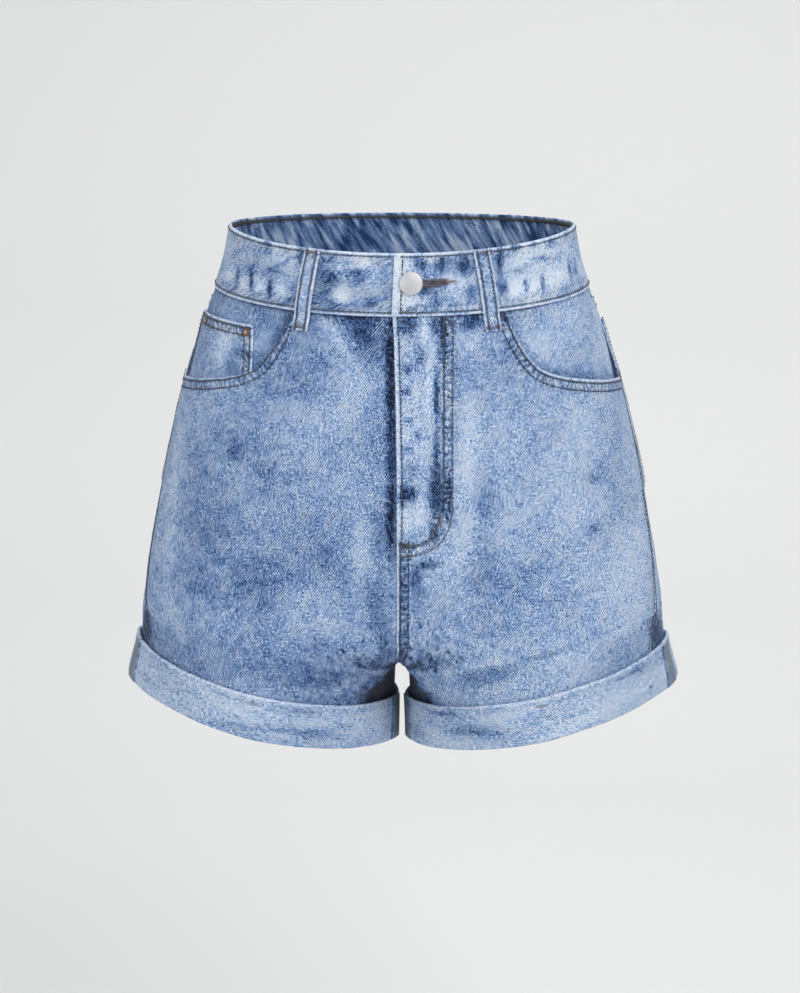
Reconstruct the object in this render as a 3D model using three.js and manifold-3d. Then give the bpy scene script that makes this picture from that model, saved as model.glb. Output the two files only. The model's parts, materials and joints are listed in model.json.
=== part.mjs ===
// Denim shorts, high in the waist, with five pockets and rolled cuffs, filled out as if worn.
// Millimetres. +Z is up, the front faces -Y and +X is the wearer's left.
// The origin is the middle of the waist opening, level with its rim at the sides.
import * as THREE from 'three';
import { mergeVertices } from 'three/addons/utils/BufferGeometryUtils.js';
import Module from 'manifold-3d';

const wasm = await Module();
wasm.setup();

// Sizes of the cloth and the seams
const CLOTH = 1.2;
const DOUBLE_CLOTH = 2.4;
const SEAM_GAP = 0.3;
const HALF_GAP = SEAM_GAP / 2;
const BAG_CLOTH = 1.0;

// Heights along the body, measured down from the rim at the side
const BAND_SEAM = 46;
const CROTCH = 284;
const CUFF_TOP = 308;
const HEM = 341;
const HEM_INNER_GAP = 5.8;
const LEGS_PART_OVER = 5;

// The body's form at a number of heights down the side. side, front and back are distances from
// the axis, mid is the depth of the side line, drop_front and drop_back are how much lower the
// centre lies than the side, crease_front and crease_back go from 0 on the body to 1 in the leg,
// square is the power of the oval, inner_square its power towards the middle of the body, and seam
// is how far the side seam lies in front of the side.
const COLUMNS = [
  'down', 'side', 'front', 'back', 'mid', 'drop_front', 'drop_back',
  'crease_front', 'crease_back', 'square', 'inner_square', 'seam',
];
const LEVELS = [
  [0, 126.5, 92, 92, 0, -14, 0, 0, 0, 2.10, 2.3, 0],
  [23, 131.0, 94, 96, 0, -14, 0, 0, 0, 2.12, 2.3, 0],
  [46, 138.0, 97, 101, 0, -13, -1, 0, 0, 2.15, 2.3, 0],
  [75, 148.5, 102, 111, 0, -12, -1, 0, 0, 2.20, 2.3, 1],
  [113, 161.0, 107, 122, 1, -12, -2, 0, 0.02, 2.25, 2.3, 4],
  [171, 175.0, 111, 131, 2, -14, -6, 0, 0.08, 2.30, 2.3, 13],
  [224, 185.5, 112, 129, 3, -18, -12, 0, 0.22, 2.30, 2.4, 23],
  [243, 189.0, 112, 126, 4, -23, -19, 0.17, 0.40, 2.28, 2.6, 27],
  [260, 191.5, 111, 122, 5, -30, -27, 0.44, 0.61, 2.22, 2.9, 32],
  [272, 193.5, 110, 119, 5, -36, -35, 0.75, 0.81, 2.12, 3.0, 37],
  [284, 195.0, 108, 116, 5, -41, -41, 1, 1, 2.00, 2.9, 41],
  [308, 196.8, 106, 111, 5, -46, -46, 1, 1, 1.74, 1.85, 46],
  [341, 200.5, 104, 108, 5, -47, -47, 1, 1, 1.64, 1.75, 48],
];

// One smooth monotone curve through a table of places and values
function smoothCurve(places, values) {
  const count = places.length;
  const slopes = [];
  for (let k = 0; k < count - 1; k += 1) {
    slopes.push((values[k + 1] - values[k]) / (places[k + 1] - places[k]));
  }
  const tangents = values.map((_, k) => {
    if (k === 0) return slopes[0];
    if (k === count - 1) return slopes[count - 2];
    const product = slopes[k - 1] * slopes[k];
    return product > 0 ? (2 * product) / (slopes[k - 1] + slopes[k]) : 0;
  });
  return (place) => {
    const first = places[0];
    const last = places[count - 1];
    if (place <= first) return values[0] + tangents[0] * (place - first);
    if (place >= last) return values[count - 1] + tangents[count - 1] * (place - last);
    let k = 0;
    while (place > places[k + 1]) k += 1;
    const step = places[k + 1] - places[k];
    const t = (place - places[k]) / step;
    const rest = 1 - t;
    return (1 + 2 * t) * rest * rest * values[k] + t * rest * rest * step * tangents[k]
      + t * t * (3 - 2 * t) * values[k + 1] - t * t * rest * step * tangents[k + 1];
  };
}

const levelCurves = Object.fromEntries(COLUMNS.slice(1).map((column, k) => [
  column, smoothCurve(LEVELS.map((row) => row[0]), LEVELS.map((row) => row[k + 1])),
]));

const clamp01 = (value) => Math.min(1, Math.max(0, value));
const smoothStep = (from, to, value) => {
  const t = clamp01((value - from) / (to - from));
  return t * t * (3 - 2 * t);
};
const mix = (a, b, t) => a + (b - a) * t;
// A straight-line table of [place, value] rows
const lineTable = (rows) => (place) => {
  if (place <= rows[0][0]) return rows[0][1];
  for (let k = 1; k < rows.length; k += 1) {
    if (place <= rows[k][0]) {
      const t = (place - rows[k - 1][0]) / (rows[k][0] - rows[k - 1][0]);
      return mix(rows[k - 1][1], rows[k][1], t);
    }
  }
  return rows[rows.length - 1][1];
};

// Half of the section at one height: points from the centre front round the side to the centre
// back, with the arc length to each. The height of a point falls from the side to the centre.
const ARC_STEPS = 140;
const DROP_POWER = 0.7;
const LEG_DROP_POWER = 0.82;
const LEG_DROP_FROM = 120;
const LEG_DROP_TO = 270;
const sections = new Map();
function sectionAt(down) {
  const key = Math.round(down * 1e5);
  if (sections.has(key)) return sections.get(key);
  const level = Object.fromEntries(
    Object.entries(levelCurves).map(([column, curve]) => [column, curve(down)]),
  );
  const inner = HEM_INNER_GAP * clamp01((down - CROTCH) / LEGS_PART_OVER);
  const legShare = smoothStep(LEG_DROP_FROM, LEG_DROP_TO, down);
  const span = level.side - inner;
  const points = [];
  const arc = (faceSign, depth, crease, drop, reverse) => {
    const share = clamp01(crease);
    const radius = span / (1 + share);
    const centre = inner + share * radius;
    const turn = share >= 1 ? Math.PI : Math.PI - Math.acos(share ** (level.inner_square / 2));
    for (let k = 0; k <= ARC_STEPS; k += 1) {
      if (reverse && k === 0) continue;
      const angle = turn * (reverse ? k / ARC_STEPS : 1 - k / ARC_STEPS);
      const cos = Math.cos(angle);
      const sin = Math.sin(angle);
      const power = 2 / (cos < 0 ? level.inner_square : level.square);
      const x = centre + radius * Math.sign(cos) * Math.abs(cos) ** power;
      const y = level.mid + faceSign * (depth - faceSign * level.mid) * Math.abs(sin) ** power;
      const across = clamp01((x - inner) / span);
      const round = (1 - across * across) ** DROP_POWER;
      const straight = (1 - across) ** LEG_DROP_POWER;
      points.push([x, y, -down + drop * mix(round, straight, legShare)]);
    }
  };
  arc(-1, level.front, level.crease_front, level.drop_front, false);
  arc(1, level.back, level.crease_back, level.drop_back, true);
  const lengths = [0];
  for (let k = 1; k < points.length; k += 1) {
    lengths.push(lengths[k - 1] + Math.hypot(
      points[k][0] - points[k - 1][0],
      points[k][1] - points[k - 1][1],
      points[k][2] - points[k - 1][2],
    ));
  }
  const section = {
    points,
    lengths,
    seam: lengths[ARC_STEPS] - level.seam,
    whole: lengths[lengths.length - 1],
  };
  sections.set(key, section);
  return section;
}
const seamAt = (down) => sectionAt(down).seam;
const wholeAt = (down) => sectionAt(down).whole;

// The point at a height and an arc length from the centre front. Past the centre it runs on over
// the other half on the body, and round again in the leg.
function bodyPoint(down, along) {
  const { points, lengths, whole } = sectionAt(down);
  let place = along;
  let mirror = 1;
  if (down >= CROTCH) {
    place = ((place % whole) + whole) % whole;
  } else if (place < 0) {
    place = -place;
    mirror = -1;
  } else if (place > whole) {
    place = 2 * whole - place;
    mirror = -1;
  }
  let low = 0;
  let high = lengths.length - 1;
  while (high - low > 1) {
    const middle = (low + high) >> 1;
    if (lengths[middle] > place) high = middle;
    else low = middle;
  }
  const t = clamp01((place - lengths[low]) / (lengths[high] - lengths[low]));
  return new THREE.Vector3(
    mirror * mix(points[low][0], points[high][0], t),
    mix(points[low][1], points[high][1], t),
    mix(points[low][2], points[high][2], t),
  );
}

// The outward normal there. Where the body divides into legs it is the panel's own.
const REACH = 1;
const DIVIDES_FROM = 247;
function bodyNormal(down, along) {
  const dividing = down > DIVIDES_FROM && down < CROTCH;
  const whole = wholeAt(down);
  const before = dividing ? Math.max(along - REACH, 0) : along - REACH;
  const after = dividing ? Math.min(along + REACH, whole) : along + REACH;
  const across = bodyPoint(down, after).sub(bodyPoint(down, before));
  const below = bodyPoint(down + REACH, along);
  const upward = bodyPoint(down - REACH, along).sub(below);
  return across.cross(upward).normalize();
}

// The larger folds: soft ridges and troughs along straight lines. seam is the distance in front of
// the side seam, less than zero behind it, and the height of a trough is less than zero.
const FOLD_COLUMNS = ['side', 'from_down', 'from_seam', 'to_down', 'to_seam', 'height', 'width'];
const FOLDS = [
  [1, 168, 153, 244, 160, -2.2, 13],
  [1, 236, 158, 272, 203, -1.6, 10],
  [1, 272, 246, 312, 210, 1.5, 7],
  [1, 266, 162, 312, 148, -1.4, 14],
  [1, 56, 128, 112, 140, -0.9, 8],
  [1, 196, 14, 292, 13, 1.3, 9],
  [-1, 188, 190, 266, 224, 1.4, 10],
  [-1, 230, 176, 254, 218, -1.4, 8],
  [-1, 240, 140, 262, 190, 1.2, 9],
  [-1, 306, 180, 284, 210, -1.3, 8],
  [-1, 54, 140, 100, 190, -1.1, 7],
  [-1, 60, 124, 130, 172, 0.9, 8],
  [-1, 190, 15, 292, 14, 2.0, 7],
  [1, 252, -185, 302, -120, -1.8, 10],
  [1, 240, -60, 302, -48, -1.2, 12],
  [-1, 246, -178, 300, -105, -1.6, 11],
  [-1, 244, -72, 306, -66, 1.3, 12],
  [-1, 262, -200, 312, -150, 1.2, 9],
].map((row) => Object.fromEntries(FOLD_COLUMNS.map((column, k) => [column, row[k]])));
const FOLDS_FADE = [297, 308];
function foldOut(down, along, side) {
  const fade = 1 - smoothStep(FOLDS_FADE[0], FOLDS_FADE[1], down);
  if (fade === 0) return 0;
  const fromSeam = seamAt(down) - along;
  let out = 0;
  for (const fold of FOLDS) {
    if (fold.side !== side) continue;
    const runDown = fold.to_down - fold.from_down;
    const runSeam = fold.to_seam - fold.from_seam;
    const offDown = down - fold.from_down;
    const offSeam = fromSeam - fold.from_seam;
    const length = Math.hypot(runDown, runSeam);
    const t = clamp01((offDown * runDown + offSeam * runSeam) / length ** 2);
    const distance = Math.hypot(offDown - t * runDown, offSeam - t * runSeam);
    out += fold.height * Math.sin(Math.PI * t) ** 0.7 * Math.exp(-((distance / fold.width) ** 2));
  }
  return out * fade;
}

// A point of a piece: so far down, so far along, so far out of the body's surface. side is 1 on
// the wearer's left and -1 on the right.
function cloth(down, along, out, side = 1) {
  const onFolds = out + foldOut(down, along, side);
  const point = bodyPoint(down, along).addScaledVector(bodyNormal(down, along), onFolds);
  point.x *= side;
  return point;
}

// One closed body from lists of points and faces, its faces turned outward
function solid(points, faces) {
  let volume = 0;
  const cross = new THREE.Vector3();
  for (const [a, b, c] of faces) {
    volume += cross.copy(points[a]).cross(points[b]).dot(points[c]);
  }
  const index = faces.flatMap(([a, b, c]) => (volume > 0 ? [a, b, c] : [a, c, b]));
  const geometry = new THREE.BufferGeometry();
  const position = points.flatMap((point) => [point.x, point.y, point.z]);
  geometry.setAttribute('position', new THREE.Float32BufferAttribute(position, 3));
  geometry.setIndex(index);
  return geometry;
}

// A piece of cloth: a grid of outer points, a grid of inner points and the edge between them
function sheet(rows, columns, pointAt) {
  const points = [];
  const number = (layer, row, column) => (layer * rows + row) * columns + column;
  for (const layer of [0, 1]) {
    for (let row = 0; row < rows; row += 1) {
      for (let column = 0; column < columns; column += 1) {
        points.push(pointAt(row, column, layer));
      }
    }
  }
  const faces = [];
  const quad = (a, b, c, d) => faces.push([a, b, c], [a, c, d]);
  for (let row = 0; row < rows - 1; row += 1) {
    for (let column = 0; column < columns - 1; column += 1) {
      quad(number(0, row, column), number(0, row + 1, column),
        number(0, row + 1, column + 1), number(0, row, column + 1));
      quad(number(1, row, column), number(1, row, column + 1),
        number(1, row + 1, column + 1), number(1, row + 1, column));
    }
  }
  for (let column = 0; column < columns - 1; column += 1) {
    const last = rows - 1;
    quad(number(0, 0, column), number(0, 0, column + 1),
      number(1, 0, column + 1), number(1, 0, column));
    quad(number(0, last, column), number(1, last, column),
      number(1, last, column + 1), number(0, last, column + 1));
  }
  for (let row = 0; row < rows - 1; row += 1) {
    const last = columns - 1;
    quad(number(0, row, 0), number(1, row, 0), number(1, row + 1, 0), number(0, row + 1, 0));
    quad(number(0, row, last), number(0, row + 1, last),
      number(1, row + 1, last), number(1, row, last));
  }
  return solid(points, faces);
}

// A closed ring whose cross-section is a closed outline of points
function ring(stations, corners, pointAt) {
  const points = [];
  for (let station = 0; station < stations; station += 1) {
    for (let corner = 0; corner < corners; corner += 1) points.push(pointAt(station, corner));
  }
  const faces = [];
  for (let station = 0; station < stations; station += 1) {
    const next = (station + 1) % stations;
    for (let corner = 0; corner < corners; corner += 1) {
      const after = (corner + 1) % corners;
      const a = station * corners + corner;
      const b = next * corners + corner;
      const c = next * corners + after;
      const d = station * corners + after;
      faces.push([a, b, c], [a, c, d]);
    }
  }
  return solid(points, faces);
}

const evenly = (from, to, steps) => Array.from(
  { length: steps + 1 },
  (_, k) => mix(from, to, k / steps),
);

// The fly: how far the left front is raised where it laps over the right one, how wide the raised
// part is, where its edge runs and how far the right front reaches under it.
const flyHeight = lineTable([[46, 2.6], [208, 2.6], [232, 1.6], [250, 1.6], [278, 0]]);
const flyWidth = lineTable([[46, 38], [190, 38], [216, 12], [279, 10]]);
const FLY_FADE = 16;
const flyEdge = lineTable([
  [46, -2.5], [60, -1.5], [105, 0], [160, 1.2], [250, 1.2], [CROTCH - 2, HALF_GAP],
]);
const flyUnder = lineTable([[46, 10], [200, 10], [250, 1.2 - SEAM_GAP], [CROTCH - 2, -HALF_GAP]]);
const flyRaise = (down, along) => {
  const width = flyWidth(down);
  return flyHeight(down) * (1 - smoothStep(width, width + FLY_FADE, along));
};

// The pocket opening: the upper edge of the front panel as a share of the panel's width
const POCKET_START = 0.425;
const pocketEdge = smoothCurve(
  [POCKET_START, 0.436, 0.450, 0.475, 0.515, 0.585, 0.690, 0.820, 1],
  [BAND_SEAM, 56, 66, 78, 89, 96.5, 102.5, 108, 113],
);
const frontTop = (share) => (share <= POCKET_START ? BAND_SEAM : pocketEdge(share)) + HALF_GAP;

// Heights shared by the large panels under the pockets, down to where the cuff turns in under them
const TUCK_GAP = 0.4;
const LOWER_ROWS = [
  130, 152, 175, 197, 216, 230, 241, 250, 258, 265, 271, 276, 280,
  CROTCH, 286.5, 289, 296, CUFF_TOP, 322, HEM - DOUBLE_CLOTH - TUCK_GAP,
];
const PANEL_BREAK = LOWER_ROWS[0];

// A front panel: columns of points from the fly to the side seam, from its upper edge to the hem
function frontPanel(side) {
  const shares = [
    0, 0.05, 0.11, 0.17, 0.215, 0.26, 0.32, 0.38,
    POCKET_START, 0.436, 0.450, 0.475, 0.515, 0.585, 0.66, 0.745, 0.83, 0.915, 1,
  ];
  const upper = [0, 0.25, 0.5, 0.75];
  const rows = upper.length + LOWER_ROWS.length;
  return sheet(rows, shares.length, (row, column, layer) => {
    const share = shares[column];
    const down = row < upper.length
      ? mix(frontTop(share), PANEL_BREAK, upper[row])
      : LOWER_ROWS[row - upper.length];
    const edge = side > 0 ? flyEdge(down) : -flyUnder(down);
    const along = mix(edge, seamAt(down) - HALF_GAP, share);
    const raise = side > 0 ? flyRaise(down, along) : 0;
    return cloth(down, along, raise - layer * CLOTH, side);
  });
}

// The yoke and the back panel meet in a seam that falls towards the centre back
const YOKE_AT_SIDE = 62;
const YOKE_AT_CENTRE = 98;
const yokeSeam = (share) => mix(YOKE_AT_SIDE, YOKE_AT_CENTRE, share);
const backAlong = (down, share) => mix(seamAt(down) + HALF_GAP, wholeAt(down) - HALF_GAP, share);

function backYoke(side) {
  const columns = 13;
  const rows = 3;
  return sheet(rows + 1, columns + 1, (row, column, layer) => {
    const share = column / columns;
    const down = mix(BAND_SEAM + HALF_GAP, yokeSeam(share) - HALF_GAP, row / rows);
    return cloth(down, backAlong(down, share), -layer * CLOTH, side);
  });
}

function backPanel(side) {
  const columns = 15;
  const upper = [0, 0.33, 0.67];
  const rows = upper.length + LOWER_ROWS.length;
  return sheet(rows, columns + 1, (row, column, layer) => {
    const share = column / columns;
    const top = yokeSeam(share) + HALF_GAP;
    const down = row < upper.length
      ? mix(top, PANEL_BREAK, upper[row])
      : LOWER_ROWS[row - upper.length];
    return cloth(down, backAlong(down, share), -layer * CLOTH, side);
  });
}

// The waistband: one folded strip from the lapping end on the left front round the back to the end
// that runs on under it. Its place along is measured from the centre front over the left side.
const BAND_OUT = 1.0;
const BAND_LAP = DOUBLE_CLOTH + SEAM_GAP;
const LAP_FULL = 37.5;
const LAP_END = 53;
const UNDER_END = 36;
const lapEdge = lineTable([[0, -1.5], [BAND_SEAM, -3.2]]);
const lapRaise = (along) => BAND_LAP * (1 - smoothStep(LAP_FULL, LAP_END, along));
const BAND_FOLD = 0.7;
const bandLayer = (down, along, layer) => {
  const fold = down === 0 ? BAND_FOLD : 0;
  const level = layer ? BAND_OUT - DOUBLE_CLOTH + fold : BAND_OUT - fold;
  return level + lapRaise(along);
};

function waistband() {
  const rowPlaces = [0, 1.3, 23, BAND_SEAM - HALF_GAP];
  const lapColumns = evenly(0, 1, 10);
  const aroundColumns = evenly(0, 1, 54).slice(1);
  const columns = lapColumns.length + aroundColumns.length;
  return sheet(rowPlaces.length, columns, (row, column, layer) => {
    const down = rowPlaces[row];
    const whole = 2 * wholeAt(down);
    const along = column < lapColumns.length
      ? mix(lapEdge(down), LAP_END, lapColumns[column])
      : mix(LAP_END, whole + UNDER_END, aroundColumns[column - lapColumns.length]);
    const out = bandLayer(down, along, layer);
    if (along <= whole / 2) return cloth(down, along, out, 1);
    return cloth(down, whole - along, out, -1);
  });
}

// The keyhole in the lapping end, as the solid that is cut out of it
const BUTTON_DOWN = 21.6;
const BUTTON_ALONG = 10.5;
const EYE_RADIUS = 2.9;
const SLOT_HALF = 1.5;
const SLOT_LENGTH = 24;
const CUTTER_OUT = 6;
function keyholeCutter() {
  const eyeEnd = Math.sqrt(EYE_RADIUS ** 2 - SLOT_HALF ** 2);
  const eyeSteps = [-0.98, -0.85, -0.6, -0.3, 0, 0.3, 0.6].map((share) => share * EYE_RADIUS);
  const slotSteps = [eyeEnd, ...evenly(8, SLOT_LENGTH - 1, 3), SLOT_LENGTH];
  const steps = [...eyeSteps, ...slotSteps];
  const halfWidth = (step) => {
    if (step < eyeEnd) return Math.sqrt(EYE_RADIUS ** 2 - step ** 2);
    return step === SLOT_LENGTH ? SLOT_HALF / 2 : SLOT_HALF;
  };
  return sheet(2, steps.length, (row, column, layer) => {
    const down = BUTTON_DOWN + (row ? 1 : -1) * halfWidth(steps[column]);
    return cloth(down, BUTTON_ALONG + steps[column], layer ? BAND_OUT + HALF_GAP : CUTTER_OUT);
  });
}

function toManifold(geometry) {
  const merged = mergeVertices(geometry, 1e-5);
  return new wasm.Manifold(new wasm.Mesh({
    numProp: 3,
    vertProperties: new Float32Array(merged.attributes.position.array),
    triVerts: new Uint32Array(merged.index.array),
  }));
}
function fromManifold(body) {
  const { vertProperties, triVerts, numProp } = body.getMesh();
  const position = [];
  for (let k = 0; k < vertProperties.length; k += numProp) {
    position.push(vertProperties[k], vertProperties[k + 1], vertProperties[k + 2]);
  }
  const geometry = new THREE.BufferGeometry();
  geometry.setAttribute('position', new THREE.Float32BufferAttribute(position, 3));
  geometry.setIndex(Array.from(triVerts));
  return geometry;
}
const cut = (geometry, cutter) => fromManifold(toManifold(geometry).subtract(toManifold(cutter)));

// Pocket pieces: the facing shows in the opening and goes on under the front panel, the bag hangs
// behind it and the coin pocket lies on the facing of the right side.
const FACING_SUNK = -3.6;
const FACING_SEAM = -0.4;
const FACING_RISE = 45;
const FACING_INNER = 58;
const FACING_BOTTOM = 134;
const openingLine = evenly(POCKET_START, 1, 60).map((share) => {
  const down = frontTop(share);
  return [down, mix(0, seamAt(down), share)];
});
function facingOut(down, along) {
  const share = along / seamAt(down);
  if (share <= POCKET_START || down >= frontTop(Math.min(share, 1))) return FACING_SUNK;
  const nearest = Math.min(...openingLine.map(([d, a]) => Math.hypot(d - down, a - along)));
  return mix(FACING_SUNK, FACING_SEAM, smoothStep(0, FACING_RISE, nearest));
}

function pocketFacing(side) {
  const columns = 14;
  const rows = 8;
  return sheet(rows + 1, columns + 1, (row, column, layer) => {
    const down = mix(BAND_SEAM + HALF_GAP, FACING_BOTTOM, row / rows);
    const along = mix(FACING_INNER, seamAt(down) - HALF_GAP, column / columns);
    return cloth(down, along, facingOut(down, along) - layer * CLOTH, side);
  });
}

const BAG_GAP = 0.5;
const BAG_INNER = 44;
const BAG_SEAM_MARGIN = 6;
const BAG_BOTTOM = 176;
const BAG_CORNER = 34;
function pocketBag(side) {
  const columns = 9;
  const rows = 6;
  const out = FACING_SUNK - CLOTH - BAG_GAP;
  return sheet(rows + 1, columns + 1, (row, column, layer) => {
    const share = column / columns;
    const bottom = BAG_BOTTOM - BAG_CORNER * Math.abs(2 * share - 1) ** 3;
    const down = mix(BAND_SEAM + BAG_GAP, bottom, row / rows);
    const along = mix(BAG_INNER, seamAt(down) - BAG_SEAM_MARGIN, share);
    return cloth(down, along, out - layer * BAG_CLOTH, side);
  });
}

const COIN_INNER = 110;
const COIN_SEAM_MARGIN = 8;
const COIN_TOP = 62;
const COIN_BOTTOM = 119;
const COIN_CLOTH = 1.1;
const COIN_GAP = 0.45;
const coinTop = (share) => mix(COIN_TOP - 1, COIN_TOP + 2, share);
function coinPocket(side) {
  const columns = 8;
  const rows = 6;
  return sheet(rows + 1, columns + 1, (row, column, layer) => {
    const share = column / columns;
    const down = mix(coinTop(share), COIN_BOTTOM, row / rows);
    const along = mix(COIN_INNER, seamAt(down) - COIN_SEAM_MARGIN, share);
    return cloth(down, along, facingOut(down, along) + COIN_GAP + (1 - layer) * COIN_CLOTH, side);
  });
}

// A back pocket: five-sided, its mouth standing a little open, its point at the bottom
const POCKET_FROM_SEAM = 14;
const POCKET_WIDTH = 134;
const POCKET_TAPER = 9;
const POCKET_BELOW_YOKE = 8;
const POCKET_HEIGHT = 122;
const POCKET_POINT = 20;
const POCKET_GAP = 0.35;
const POCKET_GAPE = 2.2;
const GAPE_SHARE = 0.25;
const PANEL_WIDTH = wholeAt(YOKE_AT_CENTRE) - seamAt(YOKE_AT_CENTRE);
function backPocket(side) {
  const columns = 10;
  const rows = 8;
  return sheet(rows + 1, columns + 1, (row, column, layer) => {
    const across = column / columns;
    const depth = row / rows;
    const panelShare = (POCKET_FROM_SEAM + POCKET_WIDTH * across) / PANEL_WIDTH;
    const top = yokeSeam(panelShare) + POCKET_BELOW_YOKE;
    const bottom = top + POCKET_HEIGHT + POCKET_POINT * (1 - Math.abs(2 * across - 1));
    const down = mix(top, bottom, depth);
    const taper = POCKET_TAPER * depth * (1 - 2 * across);
    const along = seamAt(down) + POCKET_FROM_SEAM + POCKET_WIDTH * across + taper;
    const slack = Math.sin(Math.PI * across) ** 0.6;
    const gape = POCKET_GAPE * (1 - smoothStep(0, GAPE_SHARE, depth)) * slack;
    return cloth(down, along, POCKET_GAP + gape + (1 - layer) * CLOTH, side);
  });
}

// Rolled cuffs: the wall stands up round the leg and turns in under the edge of the panels. It
// flares at the side. The seam allowances show as low ridges on the turned-out face. Turning up has
// twisted them: the one at the side lies behind the side seam, the inner one in front of the inseam.
const ALLOWANCE_HALF = 8;
const ALLOWANCE_HIGH = 0.7;
const CUFF_CLOSE = 0.45;
const CUFF_STAND = 0.4;
const CUFF_FLARE = 4.2;
const CUFF_OPEN = 0.5;
const SIDE_TWIST = 26;
const INNER_TWIST = 16;
const CUFF_STEP = 21;
const CUFF_STEPS = 18;
function cuff(side) {
  const wholeHem = wholeAt(HEM);
  const seamHem = seamAt(HEM) + SIDE_TWIST;
  const legWidth = levelCurves.side(HEM) - HEM_INNER_GAP;
  const clear = ALLOWANCE_HALF + CUFF_STEP / 2;
  const seamSteps = [-ALLOWANCE_HALF - 1.5, -ALLOWANCE_HALF, ALLOWANCE_HALF, ALLOWANCE_HALF + 1.5];
  const places = [
    ...seamSteps.map((step) => INNER_TWIST + step),
    ...evenly(INNER_TWIST + clear, seamHem - clear, CUFF_STEPS),
    ...seamSteps.map((step) => seamHem + step),
    ...evenly(seamHem + clear, wholeHem + INNER_TWIST - clear, CUFF_STEPS),
  ];
  const corners = [
    // out as a share of the wall's own thickness, how far down, and whether it is on the wall
    { wall: 1, down: CUFF_TOP + 0.8, face: true },
    { wall: 1, down: HEM - 1.4, face: true },
    { wall: 0.5, down: HEM, face: true },
    { out: -CLOTH, down: HEM - 0.6 },
    { out: -CLOTH, down: HEM - DOUBLE_CLOTH },
    { wall: 0, down: HEM - DOUBLE_CLOTH },
    { wall: 0, down: CUFF_TOP + 0.8 },
    { wall: 0.5, down: CUFF_TOP },
  ];
  return ring(places.length, corners.length, (station, corner) => {
    const { wall, out, down, face } = corners[corner];
    const place = places[station];
    const whole = wholeAt(down);
    const along = (place / wholeHem) * whole;
    if (wall === undefined) return cloth(down, along, out, side);
    const across = clamp01((bodyPoint(HEM, place).x - HEM_INNER_GAP) / legWidth);
    const low = smoothStep(CUFF_TOP, HEM, down);
    const stand = CUFF_CLOSE + CUFF_STAND * across + CUFF_OPEN * (1 - low)
      + CUFF_FLARE * across ** 4 * low;
    const fromSeam = Math.abs(place - seamHem);
    const fromInner = Math.abs(place - INNER_TWIST);
    const onAllowance = Math.min(fromSeam, fromInner) <= ALLOWANCE_HALF + 0.1;
    const ridge = face && onAllowance ? ALLOWANCE_HIGH : 0;
    return cloth(down, along, stand + wall * DOUBLE_CLOTH + ridge, side);
  });
}

// Belt loops: folded strips over the waistband, standing off it in the middle
const LOOP_HALF = 6;
const LOOP_CLOTH = 1.8;
const LOOP_TOP = 0.6;
const LOOP_BOTTOM = 60;
const LOOP_GAP = 0.4;
const LOOP_STAND = 1.9;
const STAND_FROM = 3;
const STEP_FROM = 45;
const STEP_TO = 49.5;
function beltLoop(side, alongAt) {
  const rowPlaces = [LOOP_TOP, 5, 14, 25, 36, 45, STEP_TO, LOOP_BOTTOM];
  const columns = [-LOOP_HALF, 0, LOOP_HALF];
  return sheet(rowPlaces.length, columns.length, (row, column, layer) => {
    const down = rowPlaces[row];
    const onBand = 1 - smoothStep(STEP_FROM, STEP_TO, down);
    const standShare = clamp01((down - STAND_FROM) / (STEP_FROM - STAND_FROM));
    const bulge = LOOP_STAND * Math.sin(Math.PI * standShare) ** 0.8;
    const base = LOOP_GAP + onBand * BAND_OUT + bulge;
    const out = layer ? base : base + LOOP_CLOTH;
    return cloth(down, alongAt(down) + columns[column], out, side);
  });
}
const frontLoopAlong = lineTable([[0, 60.5], [60, 70.5]]);
const BACK_LOOP_SHARE = 0.52;
const backLoopAlong = (down) => mix(seamAt(down), wholeAt(down), BACK_LOOP_SHARE);

// The shank button, as one turned body: head, stem and the foot on the under end of the band
const BUTTON_RADIUS = 8.5;
const STEM_RADIUS = 2.2;
function buttonShape() {
  const foot = BAND_OUT + SEAM_GAP;
  const head = BAND_OUT + BAND_LAP + SEAM_GAP;
  const outline = [
    [0, foot], [STEM_RADIUS, foot], [STEM_RADIUS, head], [7.4, head], [8.2, head + 0.5],
    [BUTTON_RADIUS, head + 1.3], [8.3, head + 2.1], [7.6, head + 2.6], [5.6, head + 3.0],
    [3.0, head + 3.2], [0, head + 3.3],
  ].map(([radius, height]) => new THREE.Vector2(radius, height));
  return new THREE.LatheGeometry(outline, 20);
}
function placeOnBody(mesh, down, along, out, side = 1) {
  const normal = bodyNormal(down, along);
  mesh.position.copy(cloth(down, along, out, side));
  normal.x *= side;
  mesh.quaternion.setFromUnitVectors(new THREE.Vector3(0, 1, 0), normal);
}

// A rivet at a corner of the coin pocket: a low cap on the cloth
function rivetShape() {
  const outline = [[0, 0], [2.9, 0], [3.2, 0.35], [2.7, 0.8], [1.4, 0.95], [1.1, 0.75], [0, 0.7]]
    .map(([radius, height]) => new THREE.Vector2(radius, height));
  return new THREE.LatheGeometry(outline, 12);
}

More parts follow.
